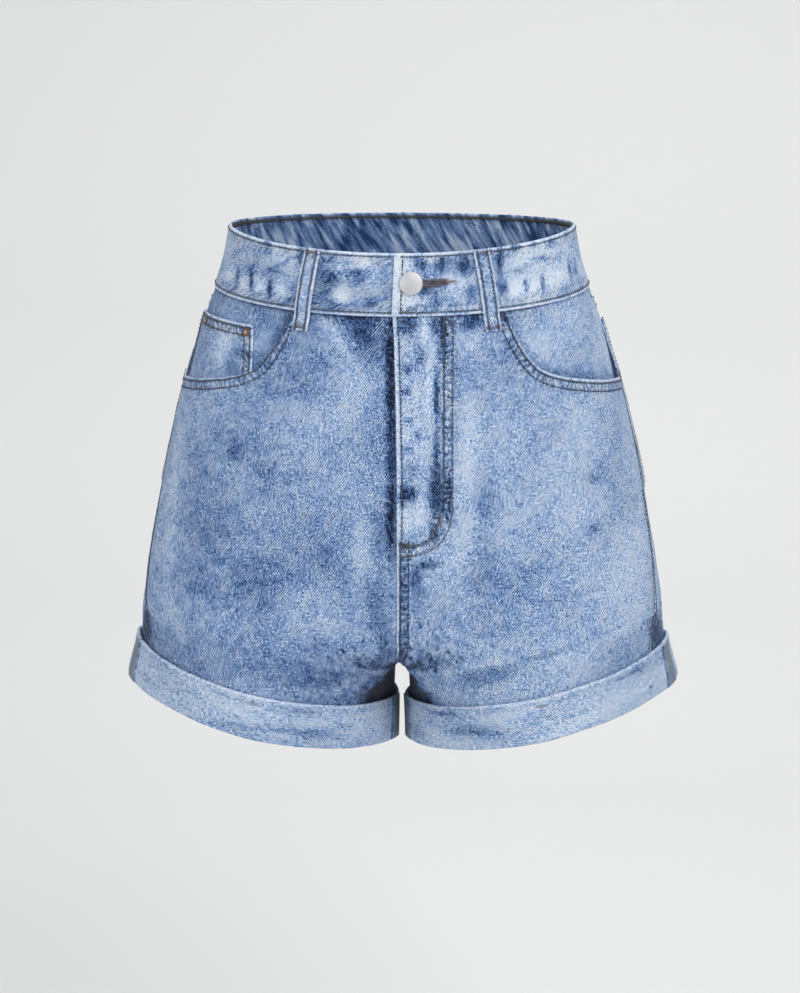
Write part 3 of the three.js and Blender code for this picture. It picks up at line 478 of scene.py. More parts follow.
def denim(name, wash=0.58, contrast=1.0, clouds=1.0, seed=0.0, ramp=DENIM_RAMP, lying=1.0,
          angle=TWILL_ANGLE):
    """Cotton twill, washed. wash is how much indigo is gone, lying how far its grain lies across."""
    material, tree, shader = new_material(name, {
        "Roughness": 0.9, "Specular IOR Level": 0.2, "Sheen Weight": 0.1, "Sheen Roughness": 0.5})
    uv = add_node(tree, "ShaderNodeUVMap", uv_map="UVMap").outputs[0]
    value = {
        key: add_node(tree, "ShaderNodeAttribute", attribute_name=key).outputs["Fac"]
        for key in ("edge_mm", "run_mm", "pucker", "tone", "inside")
    }
    for noise in named(NOISE_COLUMNS, NOISES):
        place = add_node(tree, "ShaderNodeMapping", {
            "Vector": uv, "Location": (seed, seed * 0.37, 0),
            "Scale": (noise["across"] / lying, noise["upward"] * lying, 1)})
        value[noise["name"]] = add_node(tree, "ShaderNodeTexNoise", {
            "Vector": place.outputs[0], "Scale": 1 / (noise["size_mm"] * MM),
            "Detail": noise["detail"], "Roughness": noise["roughness"],
            "Distortion": noise["distortion"]}).outputs["Fac"]
    for key, row_mm in STITCH_ROWS.items():
        off = add_node(tree, "ShaderNodeMath", {0: value["edge_mm"], 1: row_mm}, operation="SUBTRACT")
        value[key] = add_node(tree, "ShaderNodeMath", {
            0: off.outputs[0]}, operation="ABSOLUTE").outputs[0]
    for window in named(RANGE_COLUMNS, RANGES):
        value[window["name"]] = add_node(tree, "ShaderNodeMapRange", {
            "Value": value[window["source"]], "From Min": window["from_min"],
            "From Max": window["from_max"]}, interpolation_type="SMOOTHSTEP").outputs[0]
    axes = add_node(tree, "ShaderNodeSeparateXYZ", {0: uv}).outputs
    turn, pucker_turn = 2 * math.pi / TWILL_SPACING, 2 * math.pi / PUCKER_PITCH_MM
    waves = {"twill": 0.0, "bars": 0.0}
    for key, terms in (
            ("twill", ((axes[0], -math.sin(angle) * turn), (axes[1], math.cos(angle) * turn),
                       (value["patch"], 9.0), (value["fleck"], 2.0))),
            ("bars", ((value["run_mm"], pucker_turn), (value["patch"], 24.0)))):
        for source, factor in terms:
            waves[key] = add_node(tree, "ShaderNodeMath", {
                0: source, 1: factor, 2: waves[key]}, operation="MULTIPLY_ADD").outputs[0]
        value[key] = add_node(tree, "ShaderNodeMath", {0: waves[key]}, operation="SINE").outputs[0]
    products = {
        "twill_here": ("twill", "twill_share"), "rubbed": ("worn_edge", "fleck"),
        "band_of_bars": ("pucker_from", "pucker_to"), "bars_there": ("band_of_bars", "bars"),
        "puckers": ("bars_there", "pucker"), "first_row_painted_shade": ("pucker", "first_row"),
        "second_row_painted_shade": ("pucker", "second_row"),
    }
    for key, (first, second) in products.items():
        value[key] = add_node(tree, "ShaderNodeMath", {
            0: value[first], 1: value[second]}, operation="MULTIPLY").outputs[0]
    # The tone numbers carry the placed patches, some of which are painted shade. The dark lines at the
    # first and second stitch rows are painted shade in the sunk channels under the thread. The pucker
    # bars are partly wear on their ridges and partly painted light and shade of them.
    weights = {
        "grain": 1.42 * contrast, "fleck": 0.66 * contrast, "streak": 0.46 * contrast,
        "speck": -0.52 * contrast, "twill_here": 0.30 * contrast, "patch": 0.46 * clouds,
        "cloud": 0.36 * clouds, "tone": 1.0, "rubbed": 0.48, "puckers": 0.17,
        "first_row_painted_shade": -0.34, "second_row_painted_shade": -0.12,
    }
    middle = sum(0.5 * weights[key] for key in ("grain", "fleck", "streak", "patch", "cloud"))
    gone = wash - middle + 0.08 * contrast
    for key, weight in weights.items():
        gone = add_node(tree, "ShaderNodeMath", {
            0: value[key], 1: weight, 2: gone}, operation="MULTIPLY_ADD").outputs[0]
    worn = add_node(tree, "ShaderNodeMath", {
        0: value["run"], 1: 1.9, 2: -0.55}, operation="MULTIPLY_ADD")
    under = add_node(tree, "ShaderNodeMath", {
        0: value["grain"], 1: 0.5, 2: worn.outputs[0]}, operation="MULTIPLY_ADD")
    back = add_node(tree, "ShaderNodeMath", {
        0: value["tone"], 1: 0.6, 2: under.outputs[0]}, operation="MULTIPLY_ADD")
    less = add_node(tree, "ShaderNodeMath", {0: back.outputs[0], 1: -0.2}, operation="ADD")
    faces = []
    for source, stops in ((gone, ramp), (less.outputs[0], REVERSE_RAMP)):
        colours = add_node(tree, "ShaderNodeValToRGB", {"Fac": source})
        while len(colours.color_ramp.elements) < len(stops):
            colours.color_ramp.elements.new(0.5)
        for element, (position, colour) in zip(colours.color_ramp.elements, stops):
            element.position = position
            element.color = linear(colour)
        faces.append(colours.outputs[0])
    colour = add_node(tree, "ShaderNodeMix", {
        "Factor": value["inside"], "A": faces[0], "B": faces[1]}, data_type="RGBA")
    relief = 0.0
    for key, weight in RELIEF_WEIGHTS.items():
        relief = add_node(tree, "ShaderNodeMath", {
            0: value[key], 1: weight, 2: relief}, operation="MULTIPLY_ADD").outputs[0]
    bump = add_node(tree, "ShaderNodeBump", {
        "Height": relief, "Strength": 0.8, "Distance": 0.45 * MM})
    tree.links.new(colour.outputs["Result"], shader.inputs["Base Color"])
    tree.links.new(bump.outputs[0], shader.inputs["Normal"])
    return material


# Each denim is the same cloth after its own wash, so the panels differ a little, as sewn jeans do.
# The two fronts also differ by painted light and shade. The left front is the lighter one: partly
# its wash, partly painted light on the side the key lamp faces.
denim_left_washed_and_lit = denim("stone_washed_denim_left", wash=0.62, seed=0.31)
# The right front is greyer blue and a little darker: partly its wash, partly painted shade on the
# side away from the key lamp.
denim_right_washed_and_shaded = denim("stone_washed_denim_right", wash=0.53, seed=1.27)
# The back is between the two.
denim_back = denim("stone_washed_denim_back", wash=0.61, seed=2.71)
# The waistband is blotched with strong pale clouds and dark blue ones.
denim_band = denim("stone_washed_denim_band", wash=0.65, clouds=1.9, seed=3.43)
# The facing and the small pocket are quieter, as cloth that the front panel shields.
denim_facing = denim("stone_washed_denim_facing", wash=0.59, contrast=0.85, clouds=1.1, seed=4.19)
# The loops are folded narrow and rubbed, so they are the palest.
denim_loop = denim("stone_washed_denim_loop", wash=0.70, clouds=0.8, seed=5.03)
# The turned-up cuffs show the reverse side: paler, smoother, its yarns lying across in fine streaks.
denim_turn_up = denim("denim_reverse_side", wash=0.59, contrast=1.2, clouds=1.3, seed=6.37,
                      ramp=TURN_UP_RAMP, lying=1.9, angle=-TWILL_ANGLE)
print("denims:", len([m for m in bpy.data.materials if "denim" in m.name]))

# %% [markdown]
# ## A piece of cloth as a mesh
# Each piece is a grid of points on the outer face and one on the inner face, joined at the edge.
# The grid is drawn finer at its borders, where the cloth bends over. Besides the UV map the mesh
# carries numbers that the denim reads: the distance to the nearest worn edge, the way along that
# edge, how much the edge is puckered, the tone of placed patches, and which face is the inner one.

# %% Grid and mesh helpers


def spaced(start, end, step, borders=(0.0, 0.35, 1.0, 2.2)):
    """Places from start to end about a step apart, closer at both borders."""
    length = end - start
    inner_from, inner_to = start + borders[-1], end - borders[-1]
    count = max(2, int(round((inner_to - inner_from) / step)))
    middle = np.linspace(inner_from, inner_to, count + 1)[1:-1]
    low = start + np.array(borders)
    high = end - np.array(borders)[::-1]
    places = np.concatenate([low, middle, high])
    return (places - start) / length


RAGGED_COLUMNS = ("across_mm", "down_mm", "phase")
RAGGED = [(11.3, 7.1, 0.3), (-6.9, 12.7, 2.1), (8.1, -5.3, 4.0), (5.3, 9.1, 1.2), (-17.0, 6.1, 5.1)]


def tone_of(down, along, side, patches):
    """Placed light and dark patches. Each is an oval with a ragged outline, turned by its lean."""
    ragged = 0.0
    for wave in named(RAGGED_COLUMNS, RAGGED):
        turn = along / wave["across_mm"] + down / wave["down_mm"]
        ragged = ragged + np.sin(2 * math.pi * turn + wave["phase"]) / len(RAGGED)
    tone = np.zeros(np.broadcast(down, along).shape)
    for patch in named(PATCH_COLUMNS, patches):
        lean = math.radians(patch["lean"])
        off_down, off_along = down - patch["down"], along - patch["along"]
        long_way = off_down * math.cos(lean) + off_along * math.sin(lean)
        wide_way = off_along * math.cos(lean) - off_down * math.sin(lean)
        reach = (long_way / patch["half_long"]) ** 2 + (wide_way / patch["half_wide"]) ** 2
        reach = reach * (1 + 0.8 * ragged)
        tone += np.where(side == patch["side"], patch["amount"] * np.exp(-reach ** 1.6), 0)
    return tone * PATCH_CONTRAST


def face_list(rows, columns):
    """The quads of the outer face, the inner face and the four edges."""
    outer = np.arange(rows * columns).reshape(rows, columns)
    inner = outer + rows * columns
    quads = [
        np.stack([outer[:-1, :-1], outer[1:, :-1], outer[1:, 1:], outer[:-1, 1:]], -1),
        np.stack([inner[:-1, :-1], inner[:-1, 1:], inner[1:, 1:], inner[1:, :-1]], -1),
        np.stack([outer[0, :-1], outer[0, 1:], inner[0, 1:], inner[0, :-1]], -1)[None],
        np.stack([outer[-1, :-1], inner[-1, :-1], inner[-1, 1:], outer[-1, 1:]], -1)[None],
        np.stack([outer[:-1, 0], inner[:-1, 0], inner[1:, 0], outer[1:, 0]], -1)[None],
        np.stack([outer[:-1, -1], outer[1:, -1], inner[1:, -1], inner[:-1, -1]], -1)[None],
    ]
    return np.concatenate([quad.reshape(-1, 4) for quad in quads])


def mesh_from(name, points_mm, faces, uv_mm, numbers, material):
    """A mesh in metres with its UV map, its numbers, smooth faces and outward normals."""
    points = points_mm * MM
    triangles = np.concatenate([faces[:, :3], faces[:, [0, 2, 3]]])
    corners = points[triangles]
    volume = np.einsum("ij,ij->i", corners[:, 0], np.cross(corners[:, 1], corners[:, 2])).sum()
    if volume < 0:
        faces = faces[:, ::-1]
    mesh = bpy.data.meshes.new(name)
    mesh.from_pydata(points.tolist(), [], faces.tolist())
    layer = mesh.uv_layers.new(name="UVMap")
    layer.data.foreach_set("uv", (uv_mm[faces.ravel()] * MM).ravel())
    for key, values in numbers.items():
        attribute = mesh.attributes.new(key, "FLOAT", "POINT")
        attribute.data.foreach_set("value", np.ascontiguousarray(values, dtype=np.float32))
    mesh.materials.append(material)
    mesh.shade_smooth()
    mesh.set_sharp_from_angle(angle=math.radians(50))
    mesh.validate()
    return new_object(name, mesh)


ROUND_EDGE = 0.3
MAP_MIDDLE = 100.0


def flat_map(points, side):
    """The piece laid flat: its height, and its way round from where it is 100 mm to the side."""
    steps = np.hypot(np.diff(points[..., 0], axis=1), np.diff(points[..., 1], axis=1))
    way = np.concatenate([np.zeros((len(points), 1)), np.cumsum(steps, 1)], 1)
    for row in range(len(points)):
        to_side = np.abs(points[row, :, 0])
        order = np.argsort(to_side)
        way[row] -= np.interp(MAP_MIDDLE, to_side[order], way[row][order])
    return np.stack([way * side, points[..., 2]], -1)


def cloth_piece(name, down, along, outer, inner, side, material, numbers=None, uv=None):
    """A shell of cloth. outer and inner are how far its faces lie out of the body."""
    arrays = np.broadcast_arrays(down, along, outer, inner, side)
    down, along, outer, inner, side = (np.array(value, float) for value in arrays)
    border = np.zeros(down.shape, bool)
    border[0], border[-1], border[:, 0], border[:, -1] = True, True, True, True
    outer_points = cloth(down, along, outer - ROUND_EDGE * border, side)
    inner_points = cloth(down, along, inner + ROUND_EDGE * border, side)
    points = np.concatenate([outer_points.reshape(-1, 3), inner_points.reshape(-1, 3)])
    uv = flat_map(outer_points, side) if uv is None else uv
    uv_twice = np.concatenate([uv.reshape(-1, 2)] * 2)
    given = {"edge_mm": FAR_OFF, "run_mm": 0.0, "pucker": 0.0, "tone": 0.0}
    given.update(numbers or {})
    layers = {
        key: np.concatenate([np.broadcast_to(value, down.shape).ravel()] * 2)
        for key, value in given.items()
    }
    layers["inside"] = np.repeat([0.0, 1.0], down.size)
    piece = mesh_from(name, points, face_list(*down.shape), uv_twice, layers, material)
    return piece


def line_distance(down, along, line_down, line_along):
    """The distance to a line of points on the cloth, and the way along it to the nearest one."""
    runs = np.hypot(np.diff(line_down), np.diff(line_along))
    run = np.concatenate([[0], np.cumsum(runs)])
    fine = np.linspace(0, run[-1], int(run[-1] / 0.8) + 2)
    fine_down, fine_along = np.interp(fine, run, line_down), np.interp(fine, run, line_along)
    flat_down, flat_along = down.ravel(), along.ravel()
    best = np.full(flat_down.size, 1e9)
    nearest = np.zeros(flat_down.size)
    for k in range(len(fine)):
        distance = np.hypot(flat_down - fine_down[k], flat_along - fine_along[k])
        closer = distance < best
        best = np.where(closer, distance, best)
        nearest = np.where(closer, fine[k], nearest)
    return best.reshape(down.shape), nearest.reshape(down.shape)


def nearest_edge(pairs):
    """Of several edges, the distance to the nearest, the way along it and its puckers."""
    edge, way, pucker = (np.array(value, float) for value in pairs[0])
    for distance, run, amount in pairs[1:]:
        closer = distance < edge
        edge = np.where(closer, distance, edge)
        way = np.where(closer, run, way)
        pucker = np.where(closer, amount, pucker)
    return {"edge_mm": edge, "run_mm": way, "pucker": pucker}


print("rounded edge mm:", ROUND_EDGE)

# %% [markdown]
# ## Where the wash is lighter and darker, and where shade is painted
# Washed denim keeps its indigo where the cloth was folded away and loses it where it was rubbed.
# These patches follow the picture: dark to the left of the fly and below the waistband, a pale fly,
# dark marks at the curve of its stitching, and pale thighs. Some dark ones are painted shade: the
# strip left of the fly is painted shadow of its raised edge, the dark just below the waistband is
# partly painted shadow under it, a lean mark at the crotch is painted shadow, and the darkest ones,
# low on the legs, are painted shade where the legs face each other.

# %% Table of patches
PATCH_COLUMNS = ("side", "down", "along", "half_long", "half_wide", "lean", "amount")
PATCH_CONTRAST = 1.25
PATCHES = [
    # The narrow dark strips 3 to 4 mm along the right front, from 78 to 192 down, are painted shadow
    # cast by the raised fly edge.
    (-1, 78, 4, 32, 4, 0, -0.42), (-1, 134, 3, 50, 3.5, 0, -0.42), (-1, 192, 3, 26, 3.5, 0, -0.42),
    (-1, 60, 18, 22, 14, 0, -0.26), (-1, 56, 28, 14, 8, -30, -0.14), (-1, 62, 44, 22, 4, -40, 0.16),
    # The thin dark band at 47 down on the right front is painted shadow under the waistband.
    (-1, 47, 44, 3, 26, 0, -0.18), (-1, 50, 68, 6, 8, 0, -0.20), (-1, 110, 34, 40, 12, 0, 0.08),
    (-1, 208, 26, 26, 7, 0, 0.13), (-1, 200, 11, 24, 6, 0, -0.14), (-1, 238, 98, 18, 20, 0, -0.12),
    (-1, 252, 62, 16, 22, 0, 0.14), (-1, 290, 150, 10, 42, 0, -0.18), (-1, 301, 62, 6, 34, 0, -0.22),
    (-1, 284, 110, 12, 20, 0, -0.12), (-1, 205, 186, 60, 10, 0, 0.12), (-1, 150, 120, 8, 10, 0, -0.14),
    # The lean dark mark at 250 down, 12 along on the right front is painted shadow at the crotch.
    (-1, 160, 98, 8, 8, 0, -0.14), (-1, 112, 60, 14, 24, 0, 0.07), (-1, 250, 12, 18, 8, -20, -0.16),
    (-1, 182, 150, 30, 26, 0, -0.06), (-1, 225, 150, 22, 20, 0, -0.08), (-1, 272, 8, 14, 8, 0, -0.14),
    # The dark marks from 48 to 52 down on the left front, just below the waistband, are partly painted
    # shadow under it.
    (1, 130, 52, 60, 8, 0, 0.13), (1, 205, 52, 20, 12, 0, 0.10), (1, 50, 56, 7, 10, 0, -0.34),
    (1, 48, 78, 7, 8, 0, -0.36), (1, 52, 36, 8, 7, 0, -0.24), (1, 68, 50, 8, 10, 0, 0.12),
    (1, 176, 66, 22, 10, 8, -0.16), (1, 140, 108, 14, 20, 20, -0.10), (1, 172, 150, 4, 6, 0, -0.20),
    (1, 208, 150, 4, 6, 0, -0.26), (1, 220, 62, 22, 12, 0, -0.14), (1, 288, 140, 7, 30, 10, -0.24),
    (1, 286, 24, 14, 9, 0, -0.24), (1, 250, 130, 2, 26, 0, -0.10), (1, 252, 44, 16, 14, 0, 0.07),
    (1, 238, 16, 22, 6, 0, -0.12), (1, 220, 24, 3, 9, 0, -0.38), (1, 226, 15, 4, 4, 0, -0.22),
    (1, 246, 6, 30, 3, 0, -0.24), (1, 273, 6, 8, 5, 0, -0.30), (1, 150, 132, 60, 30, 0, 0.05),
    (1, 52, 8, 9, 7, 0, -0.36), (1, 52, 27, 8, 3, 0, -0.32), (1, 57, 20, 14, 2, 0, 0.24),
    (1, 64, 33, 16, 3.5, 0, -0.32), (1, 74, 18, 9, 4, 0, -0.28), (1, 84, 8, 3.5, 3.5, 0, -0.36),
    (1, 100, 8, 3.5, 3, 0, -0.38), (1, 120, 9, 3, 3, 0, -0.26), (1, 131, 16, 2.5, 2.5, 0, -0.26),
    (1, 140, 9, 2.5, 4, 0, -0.28), (1, 154, 12, 5, 5, 0, -0.20), (1, 115, 14, 44, 13, 0, 0.10),
    (1, 100, 24, 40, 3, 0, 0.12), (1, 106, 29, 12, 2.2, 0, -0.52), (1, 88, 29, 8, 2, 0, -0.24),
    (1, 138, 29, 14, 2, 0, -0.34), (1, 170, 9, 6, 8, 0, -0.46), (1, 176, 4, 4, 3, 0, -0.32),
    (1, 168, 29, 20, 5, 0, -0.54), (1, 172, 38, 15, 3, 0, -0.46), (1, 197, 27, 9, 3, 0, -0.36),
    (1, 178, 18, 10, 3, 0, 0.14), (1, 188, 12, 9, 12, 0, 0.16), (1, 208, 18, 4, 8, 70, 0.12),
    # The darkest patches low on the legs, at 298 to 302 down on both sides, are painted shade for the
    # inner legs, where the legs face each other.
    (1, 298, 34, 22, 34, 0, -0.60), (-1, 298, 34, 22, 34, 0, -0.60), (1, 300, 300, 22, 18, 0, -0.45),
    (-1, 300, 300, 22, 18, 0, -0.45), (1, 302, 58, 12, 16, 0, -0.22), (-1, 302, 58, 12, 12, 0, -0.10),
    (1, 76, 48, 26, 12, 0, -0.12), (1, 250, 70, 26, 40, 0, -0.12), (1, 250, 200, 50, 30, 0, 0.08),
    (-1, 84, 66, 34, 30, 0, -0.09), (1, 84, 74, 34, 34, 0, -0.10), (-1, 232, 96, 40, 60, 0, -0.08),
    (1, 300, 265, 12, 40, 0, -0.08),
    (-1, 300, 265, 12, 40, 0, -0.12), (1, 60, 330, 12, 60, 0, -0.10), (-1, 60, 330, 12, 60, 0, -0.10),
    (1, 150, 330, 50, 50, 0, 0.12), (-1, 160, 330, 50, 50, 0, 0.12), (1, 250, 330, 30, 60, 20, -0.08),
    (-1, 250, 330, 30, 60, -20, -0.08),
]
print("patches:", len(PATCHES))

# %% [markdown]
# ## The fly and the front panels
# The wearer's left front laps over the right one. There it is folded and doubled by its facing, so
# it stands about two cloths proud down to the curved stitching, and the step shows as a ridge. The
# pocket openings are cut out of the upper outer corners and hemmed, so their rims are thick too.

# %% Lines of the fly and the pocket openings
FLY_HEIGHT = np.array([(46, 2.6), (208, 2.6), (232, 1.6), (250, 1.6), (278, 0)], float)
FLY_WIDTH = np.array([(46, 38), (190, 38), (216, 12), (279, 10)], float)
FLY_EDGE = np.array([(46, -2.5), (60, -1.5), (105, 0), (160, 1.2), (250, 1.2), (282, 0.15)], float)
FLY_UNDER = np.array([(46, 10), (200, 10), (250, 0.9), (282, -0.15)], float)
FLY_FADE = 16.0


def from_table(table, value):
    return np.interp(value, table[:, 0], table[:, 1])


def fly_raise(down, along):
    width = from_table(FLY_WIDTH, down)
    past = np.clip((along - width) / FLY_FADE, 0, 1)
    return from_table(FLY_HEIGHT, down) * (1 - smooth_step(0, 1, past))


POCKET_START = 0.425
pocket_edge = smooth_curve(
    [POCKET_START, 0.436, 0.450, 0.475, 0.515, 0.585, 0.690, 0.820, 1],
    [BAND_SEAM, 56, 66, 78, 89, 96.5, 102.5, 108, 113])


def front_top(share):
    return np.where(share <= POCKET_START, BAND_SEAM, pocket_edge(share)) + HALF_GAP


opening_share = np.linspace(POCKET_START, 1, 160)
opening_down = front_top(opening_share)
opening_along = seam_at(opening_down) * opening_share
LOWER_EDGE = HEM - DOUBLE_CLOTH - 0.4
PANEL_BREAK = 130.0
J_COLUMNS = ("outer_down", "outer_along", "inner_down", "inner_along")
J_LINE = [
    (47, 40.5, 47, 34.0), (110, 40.5, 110, 34.2), (165, 40.8, 165, 34.0), (184, 40.5, 184, 32.5),
    (196, 38.0, 194, 29.5), (205, 32.5, 201, 25.0), (210.5, 24.0, 205, 18.0), (213, 14.0, 207, 11.0),
    (213.5, 6.0, 207.5, 5.0),
]
J_APART = 6.2
j_keys, j_steps = np.arange(len(J_LINE)), np.linspace(0, len(J_LINE) - 1, 120)
j_line = {
    name: smooth_curve(j_keys, column)(j_steps)
    for name, column in zip(J_COLUMNS, np.array(J_LINE, float).T)
}
j_rows = [(j_line[row + "_down"], j_line[row + "_along"]) for row in ("outer", "inner")]


def across_the_j(down, along):
    """The way from the inner row of the J towards the outer one, and the way along it."""
    (to_outer, _), (to_inner, run) = (line_distance(down, along, *row) for row in j_rows)
    return (to_inner ** 2 - to_outer ** 2 + J_APART ** 2) / (2 * J_APART), run


print("pocket opening mm:", round(float(np.hypot(np.diff(opening_down), np.diff(opening_along)).sum())))

# %% Front panels
LEG_WALL_SHARE, LEG_WALL_FROM = 0.14, 262.0
FLY_FREE_TO, FLY_WORN_TO, SIDE_SEAM_FROM = 206, 275, 116


def from_side_seam(share, full, whole_above):
    """How far the columns lie from the side seam. Below the place where the legs begin to divide,
    the leg's new inner wall spreads the columns nearest to the middle, and the rest stay upright."""
    upright = (1 - LEG_WALL_SHARE) * np.minimum(full, whole_above)
    near_seam = (1 - share) / (1 - LEG_WALL_SHARE) * upright
    near_middle = full - share / LEG_WALL_SHARE * (full - upright)
    return np.where(share >= LEG_WALL_SHARE, near_seam, near_middle)


def front_panel(name, side, material):
    shares = np.concatenate([
        spaced(0, 88, 1.6 if side > 0 else 2.6)[:-4] * 88 / 212, np.linspace(0.405, 0.470, 26),
        np.linspace(0.475, 0.60, 16)[1:], 0.60 + spaced(0, 84, 3.0)[4:] * 0.40])
    shares = np.unique(np.clip(shares, 0, 1))
    upper = spaced(0, PANEL_BREAK - BAND_SEAM, 2.4)
    upper = upper[upper < 0.985]
    lower = np.concatenate([
        np.arange(PANEL_BREAK, 240, 2.4), np.arange(240, 312, 2.2),
        312 + spaced(0, LOWER_EDGE - 312, 3.0)[3:] * (LOWER_EDGE - 312)])
    share = shares[None]
    top = front_top(share)
    down = np.concatenate([
        mix(top, PANEL_BREAK, upper[:, None]),
        np.broadcast_to(lower[:, None], (len(lower), len(shares)))])
    edge_line = from_table(FLY_EDGE, down) if side > 0 else -from_table(FLY_UNDER, down)
    seam = seam_at(down) - HALF_GAP
    along = seam - from_side_seam(share, seam - edge_line, float(seam_at(LEG_WALL_FROM)))
    near, run = line_distance(down, along, opening_down, opening_along)
    rim = 0.5 * (1 - smooth_step(7.0, 9.5, near))
    raised = fly_raise(down, along) if side > 0 else 0.0
    edges = [(near, run, np.ones(down.shape))]
    if side > 0:
        free_edge = down < FLY_FREE_TO
        fly_worn = (along - edge_line) * np.where(free_edge, 0.7, 1.0)
        past_row, j_run = across_the_j(down, along)
        in_channel = (past_row > -1) & (past_row < 9) & (along > 4)
        edges += [
            (np.where(down < FLY_WORN_TO, fly_worn, FAR_OFF), down, np.where(free_edge, 0.3, 1.0)),
            (np.where(in_channel, past_row + FIRST_ROW, FAR_OFF), j_run, 1.0)]
    edges += [
        (np.where(down > SIDE_SEAM_FROM, seam_at(down) - along + 0.2, FAR_OFF), down, 0.5),
        (np.where(share < 0.41, down - BAND_SEAM + 2.0, FAR_OFF), along, 0.5)]
    numbers = nearest_edge(edges)
    numbers["tone"] = tone_of(down, along, side, PATCHES)
    return cloth_piece(name, down, along, raised + rim, raised - CLOTH, side, material, numbers)


front_left = front_panel("front_left_cloth", 1, denim_left_washed_and_lit)
front_right = front_panel("front_right_cloth", -1, denim_right_washed_and_shaded)

# %% [markdown]
# ## Back yokes, back panels and back pockets
# The yoke shapes the seat with a seam that falls towards the middle, in place of darts. The pockets
# are cut with five sides and sewn on with two rows; their mouths stand a little open.

# %% Yokes and back panels
YOKE_AT_SIDE, YOKE_AT_CENTRE = 62.0, 98.0


def yoke_seam(share):
    return mix(YOKE_AT_SIDE, YOKE_AT_CENTRE, share)


def back_along(down, share):
    seam, whole = seam_at(down) + HALF_GAP, whole_at(down) - HALF_GAP
    whole_above = float(whole_at(LEG_WALL_FROM) - seam_at(LEG_WALL_FROM))
    return seam + from_side_seam(1 - share, whole - seam, whole_above)


def back_yoke(name, side):
    share = spaced(0, 190, 3.2)[None]
    rows = spaced(0, 30, 2.6)[:, None]
    top = BAND_SEAM + HALF_GAP
    down = mix(top, yoke_seam(share) - HALF_GAP, rows)
    along = back_along(down, share)
    to_yoke = yoke_seam(share) - down
    to_middle = whole_at(down) - along
    ones = np.ones(down.shape)
    numbers = nearest_edge([
        (to_yoke + 0.3, along, ones), (to_middle + 0.3, down, ones),
        (along - seam_at(down) + 0.2, down, 0.4 * ones)])
    numbers["tone"] = tone_of(down, along, side, PATCHES)
    rim = 0.5 * (1 - smooth_step(7.0, 9.0, np.minimum(to_yoke, to_middle)))
    return cloth_piece(name, down, along, rim, -CLOTH, side, denim_back, numbers)


def back_panel(name, side):
    share = spaced(0, 215, 3.4)[None]
    upper = spaced(0, 60, 3.2)
    upper = upper[upper < 0.985]
    lower = np.concatenate([
        np.arange(PANEL_BREAK, 240, 3.4), np.arange(240, 312, 2.2),
        312 + spaced(0, LOWER_EDGE - 312, 3.0)[3:] * (LOWER_EDGE - 312)])
    top = yoke_seam(share) + HALF_GAP
    down = np.concatenate([
        mix(top, PANEL_BREAK, upper[:, None]),
        np.broadcast_to(lower[:, None], (len(lower), share.shape[1]))])
    along = back_along(down, share)
    to_middle = np.where(down < CROTCH + 1, whole_at(down) - along, FAR_OFF)
    ones = np.ones(down.shape)
    numbers = nearest_edge([
        (down - yoke_seam(share) + 1.6, along, 0.3 * ones), (to_middle + 0.3, down, ones),
        (along - seam_at(down) + 0.2, down, 0.5 * ones)])
    numbers["tone"] = tone_of(down, along, side, PATCHES)
    return cloth_piece(name, down, along, 0.0, -CLOTH, side, denim_back, numbers)


yoke_left = back_yoke("yoke_left_cloth", 1)
yoke_right = back_yoke("yoke_right_cloth", -1)
back_left = back_panel("back_left_cloth", 1)
back_right = back_panel("back_right_cloth", -1)

# %% Back pockets
POCKET_FROM_SEAM, POCKET_WIDTH, POCKET_TAPER = 14.0, 134.0, 9.0
POCKET_BELOW_YOKE, POCKET_HEIGHT, POCKET_POINT = 8.0, 122.0, 20.0
POCKET_GAP, POCKET_GAPE, GAPE_SHARE = 0.35, 2.2, 0.25
panel_width = float(whole_at(YOKE_AT_CENTRE) - seam_at(YOKE_AT_CENTRE))


def pocket_place(across, depth):
    top = yoke_seam((POCKET_FROM_SEAM + POCKET_WIDTH * across) / panel_width) + POCKET_BELOW_YOKE
    bottom = top + POCKET_HEIGHT + POCKET_POINT * (1 - np.abs(2 * across - 1))
    down = mix(top, bottom, depth)
    taper = POCKET_TAPER * depth * (1 - 2 * across)
    return down, seam_at(down) + POCKET_FROM_SEAM + POCKET_WIDTH * across + taper


def pocket_lift(across, depth):
    slack = np.sin(np.pi * np.clip(across, 0, 1)) ** 0.6
    return POCKET_GAP + POCKET_GAPE * (1 - smooth_step(0, GAPE_SHARE, depth)) * slack


def back_pocket(name, side):
    across = spaced(0, POCKET_WIDTH, 3.0)[None]
    depth = spaced(0, POCKET_HEIGHT + POCKET_POINT / 2, 3.0)[:, None]
    down, along = pocket_place(across, depth)
    lift = pocket_lift(across, depth) * np.ones(down.shape)
    height = POCKET_HEIGHT + POCKET_POINT * (1 - np.abs(2 * across - 1))
    ones = np.ones(down.shape)
    numbers = nearest_edge([
        (height * depth * ones, along, 0.3 * ones), (height * (1 - depth) * ones, along, 0.7 * ones),
        (POCKET_WIDTH * across * ones, down, 0.7 * ones),
        (POCKET_WIDTH * (1 - across) * ones, down, 0.7 * ones)])
    numbers["tone"] = tone_of(down, along, side, PATCHES) + 0.03
    rim = 0.4 * (1 - smooth_step(11, 13, height * depth))
    return cloth_piece(name, down, along, lift + CLOTH + rim, lift, side, denim_back, numbers)


back_pocket_left = back_pocket("back_pocket_left_cloth", 1)
back_pocket_right = back_pocket("back_pocket_right_cloth", -1)

# %% [markdown]
# ## Front pockets
# Behind each opening lies the facing, a piece of the same denim. It is sunk below the rim of the
# opening and rises to the side seam. The small coin pocket is sewn on the right one, and a cotton
# bag hangs behind.

